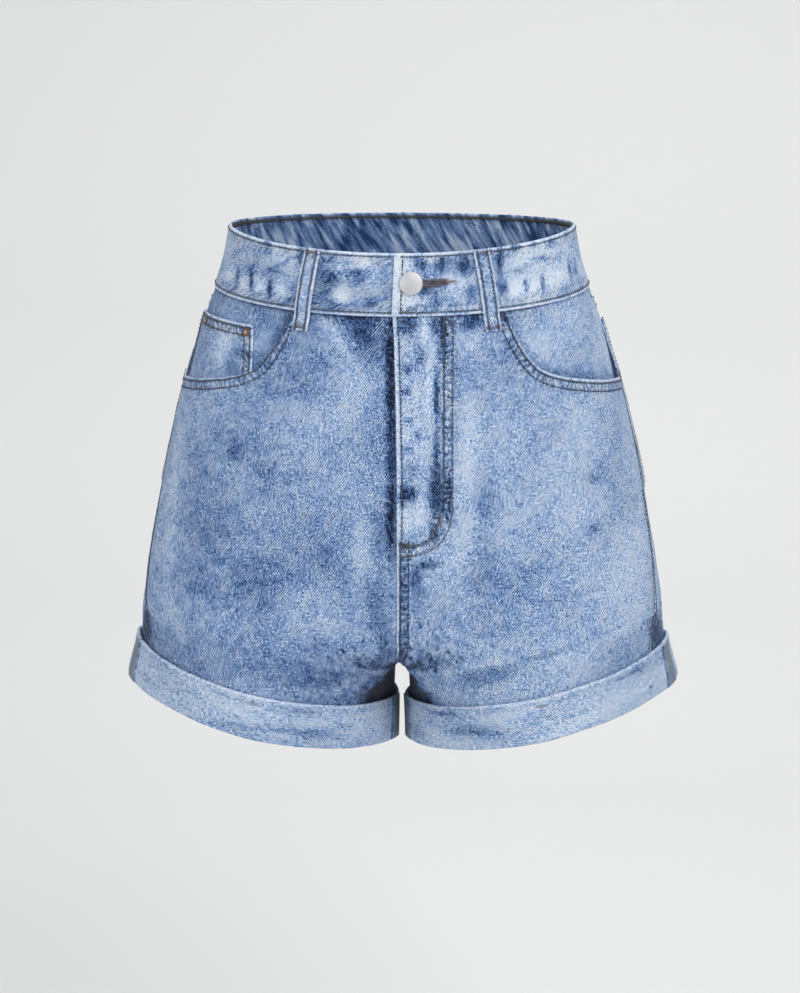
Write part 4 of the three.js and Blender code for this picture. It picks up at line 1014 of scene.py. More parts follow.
# %% Pocket facings, coin pocket and bags
FACING_SUNK, FACING_SEAM, FACING_RISE = -3.6, -0.4, 45.0
FACING_INNER, FACING_BOTTOM = 58.0, 134.0


def facing_out(down, along):
    share = along / seam_at(down)
    near, _ = line_distance(down, along, opening_down, opening_along)
    hidden = (share <= POCKET_START) | (down >= front_top(np.minimum(share, 1)))
    rise = np.where(hidden, 0, smooth_step(0, FACING_RISE, near))
    return mix(FACING_SUNK, FACING_SEAM, rise), np.where(hidden, 0, near)


def pocket_facing(name, side):
    share = spaced(0, 150, 3.2)[None]
    down = mix(BAND_SEAM + HALF_GAP, FACING_BOTTOM, spaced(0, 88, 3.2)[:, None])
    down = np.broadcast_to(down, (down.shape[0], share.shape[1]))
    along = mix(FACING_INNER, seam_at(down) - HALF_GAP, share)
    out, near = facing_out(down, along)
    shadow = -0.20 * (1 - smooth_step(0, 9, near))
    ones = np.ones(down.shape)
    numbers = nearest_edge([
        (down - BAND_SEAM + 2.2, along, 0.4 * ones), (seam_at(down) - along + 1.2, down, 0.6 * ones)])
    numbers["tone"] = shadow + (0.04 if side > 0 else -0.15)
    return cloth_piece(name, down, along, out, out - CLOTH, side, denim_facing, numbers)


facing_left = pocket_facing("pocket_facing_left_cloth", 1)
facing_right = pocket_facing("pocket_facing_right_cloth", -1)

COIN_INNER, COIN_SEAM_MARGIN = 110.0, 8.0
COIN_TOP, COIN_BOTTOM, COIN_HEIGHT, COIN_WIDTH = 62.0, 119.0, 57, 80
COIN_CLOTH, COIN_GAP = 1.1, 0.45


def coin_out(down, along):
    return facing_out(down, along)[0] + COIN_GAP


coin_across = spaced(0, COIN_WIDTH, 2.4)[None]
coin_depth = spaced(0, COIN_HEIGHT, 2.4)[:, None]
coin_down = mix(mix(COIN_TOP - 1, COIN_TOP + 2, coin_across), COIN_BOTTOM, coin_depth)
coin_along = mix(COIN_INNER, seam_at(coin_down) - COIN_SEAM_MARGIN, coin_across)
coin_ones = np.ones(coin_down.shape)
coin_numbers = nearest_edge([
    (COIN_HEIGHT * coin_depth * coin_ones, coin_along, 1.4 * coin_ones),
    (COIN_WIDTH * coin_across * coin_ones, coin_down, 0.8 * coin_ones),
    (COIN_WIDTH * (1 - coin_across) * coin_ones, coin_down, 0.8 * coin_ones)])
COIN_PATCHES = [
    (-1, 80, 140, 14, 10, 30, 0.16), (-1, 82, 118, 4, 12, 0, -0.30), (-1, 96, 128, 14, 10, 0, -0.14),
]
coin_numbers["tone"] = tone_of(coin_down, coin_along, -1, COIN_PATCHES) - 0.06
coin_lift = coin_out(coin_down, coin_along)
coin_rim = 0.25 * (1 - smooth_step(7, 9, COIN_HEIGHT * coin_depth * coin_ones))
coin_pocket = cloth_piece(
    "coin_pocket_cloth", coin_down, coin_along, coin_lift + COIN_CLOTH + coin_rim, coin_lift, -1,
    denim_facing, coin_numbers)

# Unbleached cotton, plain woven: the eye gets a dull cream with a fine even tooth.
pocketing, cotton, cotton_shader = new_material("plain_cotton_pocketing", {"Roughness": 0.9})
cotton_uv = add_node(cotton, "ShaderNodeUVMap", uv_map="UVMap").outputs[0]
cotton_weave = add_node(cotton, "ShaderNodeTexChecker", {
    "Vector": cotton_uv, "Scale": 1 / (1.2 * MM)})
cotton_noise = add_node(cotton, "ShaderNodeTexNoise", {
    "Vector": cotton_uv, "Scale": 1 / (6 * MM), "Detail": 3.0})
cotton_tone = add_node(cotton, "ShaderNodeMix", {
    "Factor": cotton_noise.outputs["Fac"], "A": linear("#cfcabd"), "B": linear("#e6e2d8")},
    data_type="RGBA")
cotton_bump = add_node(cotton, "ShaderNodeBump", {
    "Height": cotton_weave.outputs["Fac"], "Strength": 0.3, "Distance": 0.2 * MM})
cotton.links.new(cotton_tone.outputs["Result"], cotton_shader.inputs["Base Color"])
cotton.links.new(cotton_bump.outputs[0], cotton_shader.inputs["Normal"])

BAG_GAP, BAG_INNER, BAG_SEAM_MARGIN, BAG_BOTTOM, BAG_CORNER = 0.5, 44.0, 6.0, 176.0, 34.0
BAG_CLOTH = 1.0


def pocket_bag(name, side):
    share = spaced(0, 160, 5.0)[None]
    bottom = BAG_BOTTOM - BAG_CORNER * np.abs(2 * share - 1) ** 3
    down = mix(BAND_SEAM + BAG_GAP, bottom, spaced(0, 125, 5.0)[:, None])
    along = mix(BAG_INNER, seam_at(down) - BAG_SEAM_MARGIN, share)
    outer = FACING_SUNK - CLOTH - BAG_GAP
    return cloth_piece(name, down, along, outer, outer - BAG_CLOTH, side, pocketing)


bag_left = pocket_bag("pocket_bag_left_cloth", 1)
bag_right = pocket_bag("pocket_bag_right_cloth", -1)

# %% [markdown]
# ## Waistband
# One straight strip, folded at the top. Its left end laps over the right end, which runs on under
# it and carries the button. Its edges are rubbed nearly white, and between them the wash has left
# pale clouds and dark upright bars.

# %% Waistband
BAND_OUT, BAND_LAP, BAND_FOLD = 1.0, 2.7, 0.7
LAP_FULL, LAP_END, UNDER_END = 37.5, 53.0, 36.0
LAP_EDGE = np.array([(0, -1.5), (46, -3.2)], float)


def lap_raise(along):
    return BAND_LAP * (1 - smooth_step(LAP_FULL, LAP_END, along))


def ring_place(down, ring):
    """A place round the waist, from the centre front over the left side, as along and side."""
    whole = whole_at(down)
    on_left = ring <= whole
    return np.where(on_left, ring, 2 * whole - ring), np.where(on_left, 1.0, -1.0)


BAND_PATCHES = [
    (-1, 5, 70, 9, 4, 0, -0.36), (-1, 2, 100, 4, 3, 0, -0.36), (-1, 32, 96, 7, 1.9, 0, -0.50),
    (-1, 30, 114, 7, 1.9, 0, -0.46), (-1, 30, 130, 6, 1.8, 0, -0.32), (-1, 33, 105, 6, 5, 0, 0.26),
    (-1, 33, 86, 6, 6, 0, 0.26), (-1, 33, 122, 6, 5, 0, 0.22), (-1, 33, 142, 6, 7, 0, 0.18),
    (-1, 8, 90, 6, 6, 0, 0.20), (-1, 20, 92, 1.6, 8, 0, -0.30), (-1, 16, 51, 22, 8, 0, -0.34),
    (-1, 28, 44, 16, 5, 0, -0.20), (-1, 6, 24, 4.5, 7, 0, 0.42), (-1, 31, 41, 6, 7, 0, 0.50),
    (-1, 14, 30, 3, 8, 0, -0.26), (-1, 22, 26, 6, 8, 0, -0.16), (-1, 36, 18, 5, 5, 0, -0.32),
    (-1, 18, 8, 18, 5, 0, -0.14), (-1, 12, 44, 5, 6, 30, 0.10), (-1, 14, 150, 20, 14, 0, 0.06),
    (-1, 23, 110, 30, 44, 0, -0.10),
    (1, 23, 116, 30, 38, 0, 0.14),
    (1, 14, 4, 22, 5, 0, 0.26), (1, 34, 9, 6, 8, 0, 0.24), (1, 8, 17, 5, 5, 0, -0.44),
    (1, 8, 31, 5, 5, 0, -0.44), (1, 8, 24, 5, 2, 0, 0.20), (1, 26, 22, 5, 7, 0, -0.42),
    (1, 10, 48, 8, 6, 0, -0.38), (1, 22, 50, 5, 8, 0, 0.14), (1, 30, 40, 4, 8, 0, 0.14),
    (1, 28, 54, 8, 5, 0, -0.20), (1, 20, 38, 6, 3, 20, 0.18), (1, 34, 30, 4, 6, 30, -0.22),
    (1, 12, 75, 12, 3, 0, -0.46), (1, 30, 78, 7, 4, 0, -0.42), (1, 32, 88, 5, 6.5, 0, 0.32),
    (1, 31, 103, 5, 5, 0, 0.24), (1, 29, 126, 6, 12, 0, 0.26), (1, 8, 96, 7, 12, 0, 0.14),
    (1, 30, 96, 5, 1.8, 0, -0.44), (1, 30, 111, 6, 1.9, 0, -0.50), (1, 27, 142, 7, 1.8, 0, -0.38),
    (1, 28, 152, 7, 1.8, 0, -0.26), (1, 2, 88, 3, 4, 0, -0.36), (1, 2, 103, 3, 3, 0, -0.36),
    (1, 4, 121, 3.5, 4, 0, -0.38), (1, 3, 142, 3, 3, 0, -0.32), (1, 14, 112, 3, 16, -10, -0.28),
    (1, 18, 92, 3, 10, 0, -0.24), (1, 24, 240, 20, 20, 0, -0.16), (1, 22, 300, 16, 24, 0, 0.12),
    (-1, 24, 260, 20, 18, 0, 0.12), (-1, 24, 320, 20, 20, 0, -0.14), (1, 32, 200, 7, 2, 0, -0.4),
    (1, 31, 262, 7, 2, 0, -0.4), (-1, 32, 190, 7, 2, 0, -0.4), (-1, 30, 232, 7, 2, 0, -0.4),
]
band_rows = np.array([0.0, 0.5, 1.3, 2.4, *np.linspace(4.4, 41.5, 15), 43.4, 44.7, 45.4, 45.85])
lap_columns = spaced(0, LAP_END + 3, 1.6)
lap_columns = lap_columns[lap_columns < 0.985]
band_down = band_rows[:, None]
band_whole = whole_at(band_down)
lap_ring = mix(from_table(LAP_EDGE, band_down), LAP_END, lap_columns[None])
rest_share = spaced(0, 690, 1.7)
rest_share = rest_share[rest_share > 0.004]
rest_ring = mix(LAP_END, 2 * band_whole + UNDER_END, np.concatenate([[0.0], rest_share])[None])
band_ring = np.concatenate([lap_ring, rest_ring], 1)
band_down = np.broadcast_to(band_down, band_ring.shape)
band_along, band_side = ring_place(band_down, band_ring)
band_fold = BAND_FOLD * (1 - smooth_step(0, 1.3, band_down))
band_lift = lap_raise(band_ring)
band_ones = np.ones(band_down.shape)
band_numbers = nearest_edge([
    (band_down, band_ring, 0.6 * band_ones), (BAND_SEAM - band_down, band_ring, 0.6 * band_ones),
    ((band_ring - from_table(LAP_EDGE, band_down)) * 0.42, band_down, 0.2 * band_ones)])
band_numbers["tone"] = tone_of(band_down, band_along, band_side, BAND_PATCHES)
band_uv = np.stack([band_ring, -band_down], -1)
waistband = cloth_piece(
    "waistband_cloth", band_down, band_along, BAND_OUT - band_fold + band_lift,
    BAND_OUT - DOUBLE_CLOTH + band_fold + band_lift, band_side, denim_band, band_numbers, band_uv)

# %% [markdown]
# The keyhole is cut through the lapping end only. A boolean cut with a solid made on the same
# surface keeps the under end whole, though it lies just 0.3 mm below.

# %% Keyhole
BUTTON_DOWN, BUTTON_ALONG = 21.6, 10.5
EYE_RADIUS, SLOT_HALF, SLOT_LENGTH = 2.9, 1.5, 24.0
eye_end = math.sqrt(EYE_RADIUS ** 2 - SLOT_HALF ** 2)
eye_steps = EYE_RADIUS * np.sin(np.linspace(-1.45, math.asin(eye_end / EYE_RADIUS), 14))
slot_steps = np.linspace(eye_end + 1, SLOT_LENGTH - 1, 12)
key_steps = np.concatenate([eye_steps, slot_steps, [SLOT_LENGTH - 0.4, SLOT_LENGTH]])
key_half = np.where(
    key_steps <= eye_end, np.sqrt(np.maximum(EYE_RADIUS ** 2 - key_steps ** 2, 0.05)), SLOT_HALF)
key_half[-2:] = (SLOT_HALF * 0.85, SLOT_HALF * 0.4)
key_down = BUTTON_DOWN + np.array([[-1.0], [1.0]]) * key_half[None]
key_along = np.broadcast_to(BUTTON_ALONG + key_steps[None], key_down.shape)
key_points = np.concatenate([
    cloth(key_down, key_along, 6.0, 1).reshape(-1, 3),
    cloth(key_down, key_along, BAND_OUT + 0.15, 1).reshape(-1, 3)])
cutter = mesh_from("keyhole_cutter", key_points, face_list(*key_down.shape),
                   key_points[:, :2], {}, denim_band)
cut = waistband.modifiers.new("keyhole", "BOOLEAN")
cut.operation = "DIFFERENCE"
cut.object = cutter
cut.solver = "EXACT"
depsgraph = bpy.context.evaluated_depsgraph_get()
cut_mesh = bpy.data.meshes.new_from_object(waistband.evaluated_get(depsgraph))
before_cut = len(waistband.data.polygons)
waistband.modifiers.remove(cut)
waistband.data = cut_mesh
bpy.data.objects.remove(cutter)
print("waistband faces before and after the cut:", before_cut, len(cut_mesh.polygons))

# %% [markdown]
# ## Rolled cuffs
# The leg's end is turned up twice, so the cuff shows the paler reverse side of the denim, its
# yarns lying across. It stands off the leg most at the side, where the thick seam allowances are
# rolled in, and those allowances with their overlocked edges show as two grey ridges.

# %% Cuffs
ALLOWANCE_HALF, ALLOWANCE_HIGH = 8.0, 0.7
CUFF_CLOSE, CUFF_STAND, CUFF_FLARE, CUFF_OPEN = 0.45, 0.4, 4.2, 0.5
SIDE_TWIST, INNER_TWIST = 26.0, 16.0
hem_whole, hem_seam = float(whole_at(HEM)), float(seam_at(HEM)) + SIDE_TWIST
leg_width = float(level_curves["side"](HEM)) - HEM_INNER_GAP
CUFF_PATCHES = [
    (-1, 322, 60, 60, 10, 90, 0.08), (-1, 330, 150, 40, 3, 84, -0.16), (-1, 316, 190, 50, 6, 95, 0.10),
    (-1, 326, 240, 40, 4, 80, -0.12), (-1, 331, 112, 20, 4, 90, -0.24), (-1, 325, 90, 12, 3, 90, -0.20),
    (-1, 315, 130, 24, 3, 90, -0.12), (-1, 336, 176, 30, 3, 90, -0.10), (1, 331, 42, 16, 5, 90, -0.22),
    (1, 318, 150, 50, 6, 90, 0.12), (1, 326, 108, 22, 5, 88, -0.22), (1, 332, 210, 60, 6, 96, 0.12),
    (1, 316, 260, 30, 4, 84, -0.10), (1, 320, 168, 18, 4, 90, -0.18), (1, 334, 130, 30, 4, 84, -0.12),
    (1, 314, 86, 20, 3, 90, -0.10), (1, 320, 20, 20, 6, 90, 0.08),
]


def cuff_place(place, down, wall, ridge=True):
    """A place on the cuff's wall. wall is 0 on its inner face and 1 on its outer one."""
    along = place / hem_whole * whole_at(down)
    across = np.clip((body_point(HEM, place)[..., 0] - HEM_INNER_GAP) / leg_width, 0, 1)
    low = smooth_step(CUFF_TOP, HEM, down)
    stand = (CUFF_CLOSE + CUFF_STAND * across + CUFF_OPEN * (1 - low)
             + CUFF_FLARE * across ** 4 * low)
    near = np.minimum(np.abs(place - hem_seam), np.abs(place - INNER_TWIST))
    high = ALLOWANCE_HIGH * (1 - smooth_step(ALLOWANCE_HALF, ALLOWANCE_HALF + 1.2, near))
    wave = 0.22 * np.sin(2 * np.pi * place / 71 + 0.6) + 0.14 * np.sin(2 * np.pi * place / 39)
    out = stand + wall * DOUBLE_CLOTH + (high * wall if ridge else 0) + wave * wall
    return along, out, near


CUFF_OUTLINE_COLUMNS = ("wall", "out", "down")
CUFF_OUTLINE = (
    [(0.5, None, CUFF_TOP), (0.8, None, CUFF_TOP + 0.15), (1.0, None, CUFF_TOP + 0.9)]
    + [(1.0, None, down) for down in np.linspace(CUFF_TOP + 2.6, HEM - 2.2, 12)]
    + [(1.0, None, HEM - 1.3), (0.85, None, HEM - 0.5), (0.5, None, HEM)]
    + [(None, -0.2, HEM), (None, -0.9, HEM - 0.25), (None, -CLOTH, HEM - 0.8)]
    + [(None, -CLOTH, HEM - DOUBLE_CLOTH), (0.0, None, HEM - DOUBLE_CLOTH)]
    + [(0.0, None, down) for down in np.linspace(HEM - 6, CUFF_TOP + 3, 6)]
    + [(0.0, None, CUFF_TOP + 0.9), (0.2, None, CUFF_TOP + 0.15)]
)


def cuff(name, side):
    fine = np.array([-ALLOWANCE_HALF - 1.2, -ALLOWANCE_HALF - 0.6, -ALLOWANCE_HALF, -5.0, -2.0,
                     2.0, 5.0, ALLOWANCE_HALF, ALLOWANCE_HALF + 0.6, ALLOWANCE_HALF + 1.2])
    clear = ALLOWANCE_HALF + 3.5
    places = np.concatenate([
        INNER_TWIST + fine, np.arange(INNER_TWIST + clear, hem_seam - clear + 1, 3.0), hem_seam + fine,
        np.arange(hem_seam + clear, hem_whole + INNER_TWIST - clear + 1, 3.0)])
    count, corners = len(places), len(CUFF_OUTLINE)
    points, uv, down_all, near_all, edge_all = [], [], [], [], []
    for corner in named(CUFF_OUTLINE_COLUMNS, CUFF_OUTLINE):
        down = np.full(count, float(corner["down"]))
        if corner["wall"] is None:
            along, _, near = cuff_place(places, down, 0.0)
            out = np.full(count, corner["out"])
        else:
            along, out, near = cuff_place(places, down, corner["wall"])
        points.append(cloth(down, along, out, side))
        uv.append(np.stack([places * side, -down], -1))
        down_all.append(down)
        near_all.append(near)
        edge_all.append(
            down - CUFF_TOP if corner["wall"] is not None else np.full(count, FAR_OFF))
    points = np.stack(points, 1).reshape(-1, 3)
    uv = np.stack(uv, 1).reshape(-1, 2)
    numbers_grid = np.arange(count * corners).reshape(count, corners)
    following = np.roll(numbers_grid, -1, 0)
    faces = np.stack([
        numbers_grid, following, np.roll(following, -1, 1), np.roll(numbers_grid, -1, 1)], -1)
    down_flat = np.stack(down_all, 1).ravel()
    place_flat = np.repeat(places, corners)
    near_flat = np.stack(near_all, 1).ravel()
    tone = tone_of(down_flat, place_flat, side, CUFF_PATCHES)
    tone -= 0.12 * (1 - smooth_step(ALLOWANCE_HALF - 0.3, ALLOWANCE_HALF + 0.6, near_flat))
    # A narrow dark line along the foot of each allowance ridge is painted shade.
    tone -= 0.40 * np.exp(-((near_flat - ALLOWANCE_HALF - 1.0) / 1.2) ** 2)
    pressed_line = np.exp(-(down_flat - CUFF_TOP - 5.5) ** 2)
    tone -= 0.16 * pressed_line * (1 + np.sin(place_flat / 9.0)) / 2
    numbers = {
        "edge_mm": np.stack(edge_all, 1).ravel(), "run_mm": place_flat,
        "pucker": np.zeros(len(points)), "tone": tone, "inside": np.zeros(len(points))}
    piece = mesh_from(name, points, faces.reshape(-1, 4), uv, numbers, denim_turn_up)
    print(name, "triangles:", 2 * len(piece.data.polygons))
    return piece


cuff_left = cuff("cuff_left_cloth", 1)
cuff_right = cuff("cuff_right_cloth", -1)

# %% [markdown]
# ## Belt loops
# Each loop is a strip of denim with its edges folded in and two rows of stitching. Its ends are
# tacked down and its middle stands off the waistband.

# %% Belt loops
LOOP_HALF, LOOP_CLOTH, LOOP_TOP, LOOP_BOTTOM = 6.0, 1.8, 0.6, 60.0
LOOP_GAP, LOOP_STAND, STAND_FROM, STEP_FROM, STEP_TO = 0.4, 1.9, 3.0, 45.0, 49.5
LOOP_LINE = np.array([(0, 60.5), (60, 70.5)], float)
BACK_LOOP_SHARE = 0.52


def loop_base(down):
    on_band = 1 - smooth_step(STEP_FROM, STEP_TO, down)
    share = np.clip((down - STAND_FROM) / (STEP_FROM - STAND_FROM), 0, 1)
    return LOOP_GAP + on_band * BAND_OUT + LOOP_STAND * np.sin(np.pi * share) ** 0.8


def front_loop_line(down):
    return from_table(LOOP_LINE, down)


def back_loop_line(down):
    return mix(seam_at(down), whole_at(down), BACK_LOOP_SHARE)


def belt_loop(name, side, line):
    rows = LOOP_TOP + spaced(0, LOOP_BOTTOM - LOOP_TOP, 1.6) * (LOOP_BOTTOM - LOOP_TOP)
    columns = spaced(-LOOP_HALF, LOOP_HALF, 1.2, (0.0, 0.4, 1.1, 1.8)) * 2 * LOOP_HALF - LOOP_HALF
    down = np.broadcast_to(rows[:, None], (len(rows), len(columns)))
    along = line(down) + columns[None]
    from_edge = LOOP_HALF - np.abs(columns)[None] * np.ones(down.shape)
    end = np.minimum(down - LOOP_TOP, LOOP_BOTTOM - down)
    crown = -0.35 * (1 - smooth_step(0, 1.2, from_edge)) + 0.15 * smooth_step(1.5, 2.8, from_edge)
    outer = loop_base(down) + LOOP_CLOTH + crown
    numbers = nearest_edge([
        (from_edge + 0.4, down, 0.4 * np.ones(down.shape)), (end, along, 0 * down)])
    # The dark line along each row of stitching is painted shade in its sunk channel.
    tone = -0.34 * np.exp(-((from_edge - 2.6) / 0.8) ** 2)
    numbers["tone"] = tone - 0.22 * (1 - smooth_step(2, 6, end))
    return cloth_piece(name, down, along, outer, loop_base(down), side, denim_loop, numbers)


LOOPS = [
    ("belt_loop_front_left", 1, front_loop_line), ("belt_loop_front_right", -1, front_loop_line),
    ("belt_loop_back_left", 1, back_loop_line), ("belt_loop_back_right", -1, back_loop_line),
    ("belt_loop_back_centre", 1, whole_at),
]
loops = {name: belt_loop(name + "_cloth", side, line) for name, side, line in LOOPS}

# %% [markdown]
# ## Thread
# The seams are sewn with thick dark grey thread that washing has dulled, and tacked in brown at
# the points of strain. Sewn thread shows as short beads with gaps between them, so a Geometry Nodes
# tree walks along each seam line, sets one small bead for each stitch, turned along the line, and
# makes them one mesh. A second tree lays an unbroken thread along a zigzag, for tacks, the
# buttonhole and the overlocked edges.

# %% Thread materials


def thread_material(name, dark, light):
    """Spun polyester-cotton thread. Its plies show as fine mottling, dark to light."""
    material, tree, shader = new_material(name, {"Roughness": 0.7})
    place = add_node(tree, "ShaderNodeTexCoord").outputs["Object"]
    plies = add_node(tree, "ShaderNodeTexNoise", {
        "Vector": place, "Scale": 1 / (1.1 * MM), "Detail": 2.0})
    colour = add_node(tree, "ShaderNodeMix", {
        "Factor": plies.outputs["Fac"], "A": linear(dark), "B": linear(light)}, data_type="RGBA")
    bump = add_node(tree, "ShaderNodeBump", {
        "Height": plies.outputs["Fac"], "Strength": 0.4, "Distance": 0.2 * MM})
    tree.links.new(colour.outputs["Result"], shader.inputs["Base Color"])
    tree.links.new(bump.outputs[0], shader.inputs["Normal"])
    return material


# Dulled grey-brown: the rows read as dark dashes with lighter crowns.
grey_thread = thread_material("dull_grey_brown_thread", "#1b1e25", "#6d6c68")
# Navy grey: the rows that have sunk into the cloth. They are darker partly from the indigo they
# took from it and partly as painted shade of the ditch they lie in.
navy_thread_painted_shade = thread_material("dye_stained_navy_thread", "#161d2c", "#4e5a72")
# Washed brown with some orange left, for the tacks and the buttonhole.
brown_thread = thread_material("washed_brown_thread", "#5a4030", "#b38a68")
# Olive tan, the tack where the fly's curved rows begin to turn.
olive_thread = thread_material("olive_tan_thread", "#4d4634", "#857c60")
# Pale grey overlocking, as soft as rope on the cuffs' seam allowances.
overlock_thread = thread_material("grey_overlock_thread", "#6a7888", "#d2dae2")
# Dark grey-brown binding inside the waistband's rim.
rim_thread = thread_material("dark_rim_thread", "#22252b", "#6e6e6a")

# %% The stitch trees


def new_group(name, inputs):
    """A geometry tree with a geometry input and output and named sizes."""
    group = bpy.data.node_groups.new(name, "GeometryNodeTree")
    group.interface.new_socket("Geometry", in_out="INPUT", socket_type="NodeSocketGeometry")
    for label, kind, value in inputs:
        socket = group.interface.new_socket(label, in_out="INPUT", socket_type=kind)
        if value is not None:
            socket.default_value = value
    group.interface.new_socket("Geometry", in_out="OUTPUT", socket_type="NodeSocketGeometry")
    return group


def stitch_group():
    group = new_group("stitches", [
        ("Pitch", "NodeSocketFloat", 3.0 * MM), ("Length", "NodeSocketFloat", 2.4 * MM),
        ("Thickness", "NodeSocketFloat", 0.75 * MM), ("Material", "NodeSocketMaterial", None)])
    given = add_node(group, "NodeGroupInput").outputs
    result = add_node(group, "NodeGroupOutput")
    line = add_node(group, "GeometryNodeMeshToCurve", {"Mesh": given["Geometry"]})
    beads = add_node(group, "GeometryNodeResampleCurve", {
        "Curve": line.outputs["Curve"], "Length": given["Pitch"]}, mode="LENGTH")
    tangent = add_node(group, "GeometryNodeInputTangent")
    turned = add_node(group, "FunctionNodeAlignRotationToVector", {
        "Vector": tangent.outputs[0]}, axis="Z")
    bead = add_node(group, "GeometryNodeMeshUVSphere", {"Segments": 6, "Rings": 5, "Radius": 0.5})
    size = add_node(group, "ShaderNodeCombineXYZ", {
        0: given["Thickness"], 1: given["Thickness"], 2: given["Length"]})
    vary = add_node(group, "FunctionNodeRandomValue", {2: 0.85, 3: 1.12, "Seed": 7},
                    data_type="FLOAT")
    scale = add_node(group, "ShaderNodeVectorMath", {
        0: size.outputs[0], "Scale": vary.outputs[1]}, operation="SCALE")
    placed = add_node(group, "GeometryNodeInstanceOnPoints", {
        "Points": beads.outputs["Curve"], "Instance": bead.outputs["Mesh"],
        "Rotation": turned.outputs[0], "Scale": scale.outputs[0]})
    real = add_node(group, "GeometryNodeRealizeInstances", {"Geometry": placed.outputs[0]})
    finish = add_node(group, "GeometryNodeSetMaterial", {
        "Geometry": real.outputs[0], "Material": given["Material"]})
    group.links.new(finish.outputs[0], result.inputs[0])
    return group


def thread_group():
    group = new_group("laid_thread", [
        ("Thickness", "NodeSocketFloat", 0.6 * MM), ("Material", "NodeSocketMaterial", None)])
    given = add_node(group, "NodeGroupInput").outputs
    result = add_node(group, "NodeGroupOutput")
    line = add_node(group, "GeometryNodeMeshToCurve", {"Mesh": given["Geometry"]})
    half = add_node(group, "ShaderNodeMath", {0: given["Thickness"], 1: 0.5}, operation="MULTIPLY")
    ring = add_node(group, "GeometryNodeCurvePrimitiveCircle", {
        "Resolution": 5, "Radius": half.outputs[0]})
    tube = add_node(group, "GeometryNodeCurveToMesh", {
        "Curve": line.outputs["Curve"], "Profile Curve": ring.outputs["Curve"], "Fill Caps": True})
    smooth = add_node(group, "GeometryNodeSetShadeSmooth", {"Geometry": tube.outputs[0]})
    real = add_node(group, "GeometryNodeRealizeInstances", {"Geometry": smooth.outputs[0]})
    finish = add_node(group, "GeometryNodeSetMaterial", {
        "Geometry": real.outputs[0], "Material": given["Material"]})
    group.links.new(finish.outputs[0], result.inputs[0])
    return group


stitches_tree, laid_tree = stitch_group(), thread_group()


def sew(name, lines_mm, group, sizes, material):
    """Runs a stitch tree over lines of points and keeps the result as a plain mesh."""
    verts, edges = [], []
    for line in lines_mm:
        start = len(verts)
        verts.extend((np.asarray(line) * MM).tolist())
        edges.extend((start + k, start + k + 1) for k in range(len(line) - 1))
    mesh = bpy.data.meshes.new(name)
    mesh.from_pydata(verts, edges, [])
    piece = new_object(name, mesh)
    modifier = piece.modifiers.new("sew", "NODES")
    modifier.node_group = group
    values = {**sizes, "Material": material}
    for item in group.interface.items_tree:
        if item.item_type == "SOCKET" and item.in_out == "INPUT" and item.name in values:
            modifier[item.identifier] = values[item.name]
    graph = bpy.context.evaluated_depsgraph_get()
    sewn = bpy.data.meshes.new_from_object(piece.evaluated_get(graph))
    piece.modifiers.remove(modifier)
    piece.data = sewn
    sewn.shade_smooth()
    print(name, "lines:", len(lines_mm), "triangles:", sum(len(p.vertices) - 2 for p in sewn.polygons))
    return piece


# %% [markdown]
# ## Lines of the seams
# Each row of stitching is a line on the cloth, given by how far down and how far along it runs and
# how far out of the body the cloth lies there.

# %% Seam lines on the front
THREAD_OUT = 0.18


def seam_line(down, along, out, side):
    down, along = np.broadcast_arrays(np.asarray(down, float), np.asarray(along, float))
    return cloth(down, along, out + THREAD_OUT, side)


def down_run(start, end, step=3.0):
    return np.linspace(start, end, max(2, int(abs(end - start) / step) + 1))


def front_out(down, along, side):
    near, _ = line_distance(down, along, opening_down, opening_along)
    rim = 0.5 * (1 - smooth_step(7.0, 9.5, near))
    return rim + (fly_raise(down, along) if side > 0 else 0.0)


def beside(line_down, line_along, distance):
    """A line moved sideways on the cloth."""
    step_down, step_along = np.gradient(line_down), np.gradient(line_along)
    length = np.hypot(step_down, step_along)
    return line_down + distance * step_along / length, line_along - distance * step_down / length


front_rows, dark_rows, tack_rows = [], [], []
for side in (1, -1):
    for rows, distance in ((front_rows, FIRST_ROW), (dark_rows, SECOND_ROW)):
        down, along = beside(opening_down, opening_along, distance)
        keep = (down > BAND_SEAM + 0.5) & (along < seam_at(down) - 0.8)
        down, along = down[keep], along[keep]
        rows.append(seam_line(down, along, front_out(down, along, side), side))
    down = down_run(196, 306)
    dark_rows.append(seam_line(down, seam_at(down) - 2.4, 0.0, side))
    down = down_run(115, 306)
    dark_rows.append(seam_line(down, seam_at(down) + 2.4, 0.0, side))
down = down_run(BAND_SEAM + 1, 204)
along = from_table(FLY_EDGE, down) + 3.6
dark_rows.append(seam_line(down, along, fly_raise(down, along), 1))
for down, along in j_rows:
    front_rows.append(seam_line(down, along, fly_raise(down, along), 1))
for along_place, end in ((3.6, 276), (9.6, 272)):
    down = down_run(204, end)
    along = np.full(down.shape, along_place)
    dark_rows.append(seam_line(down, along, fly_raise(down, along), 1))
print("front rows:", len(front_rows))

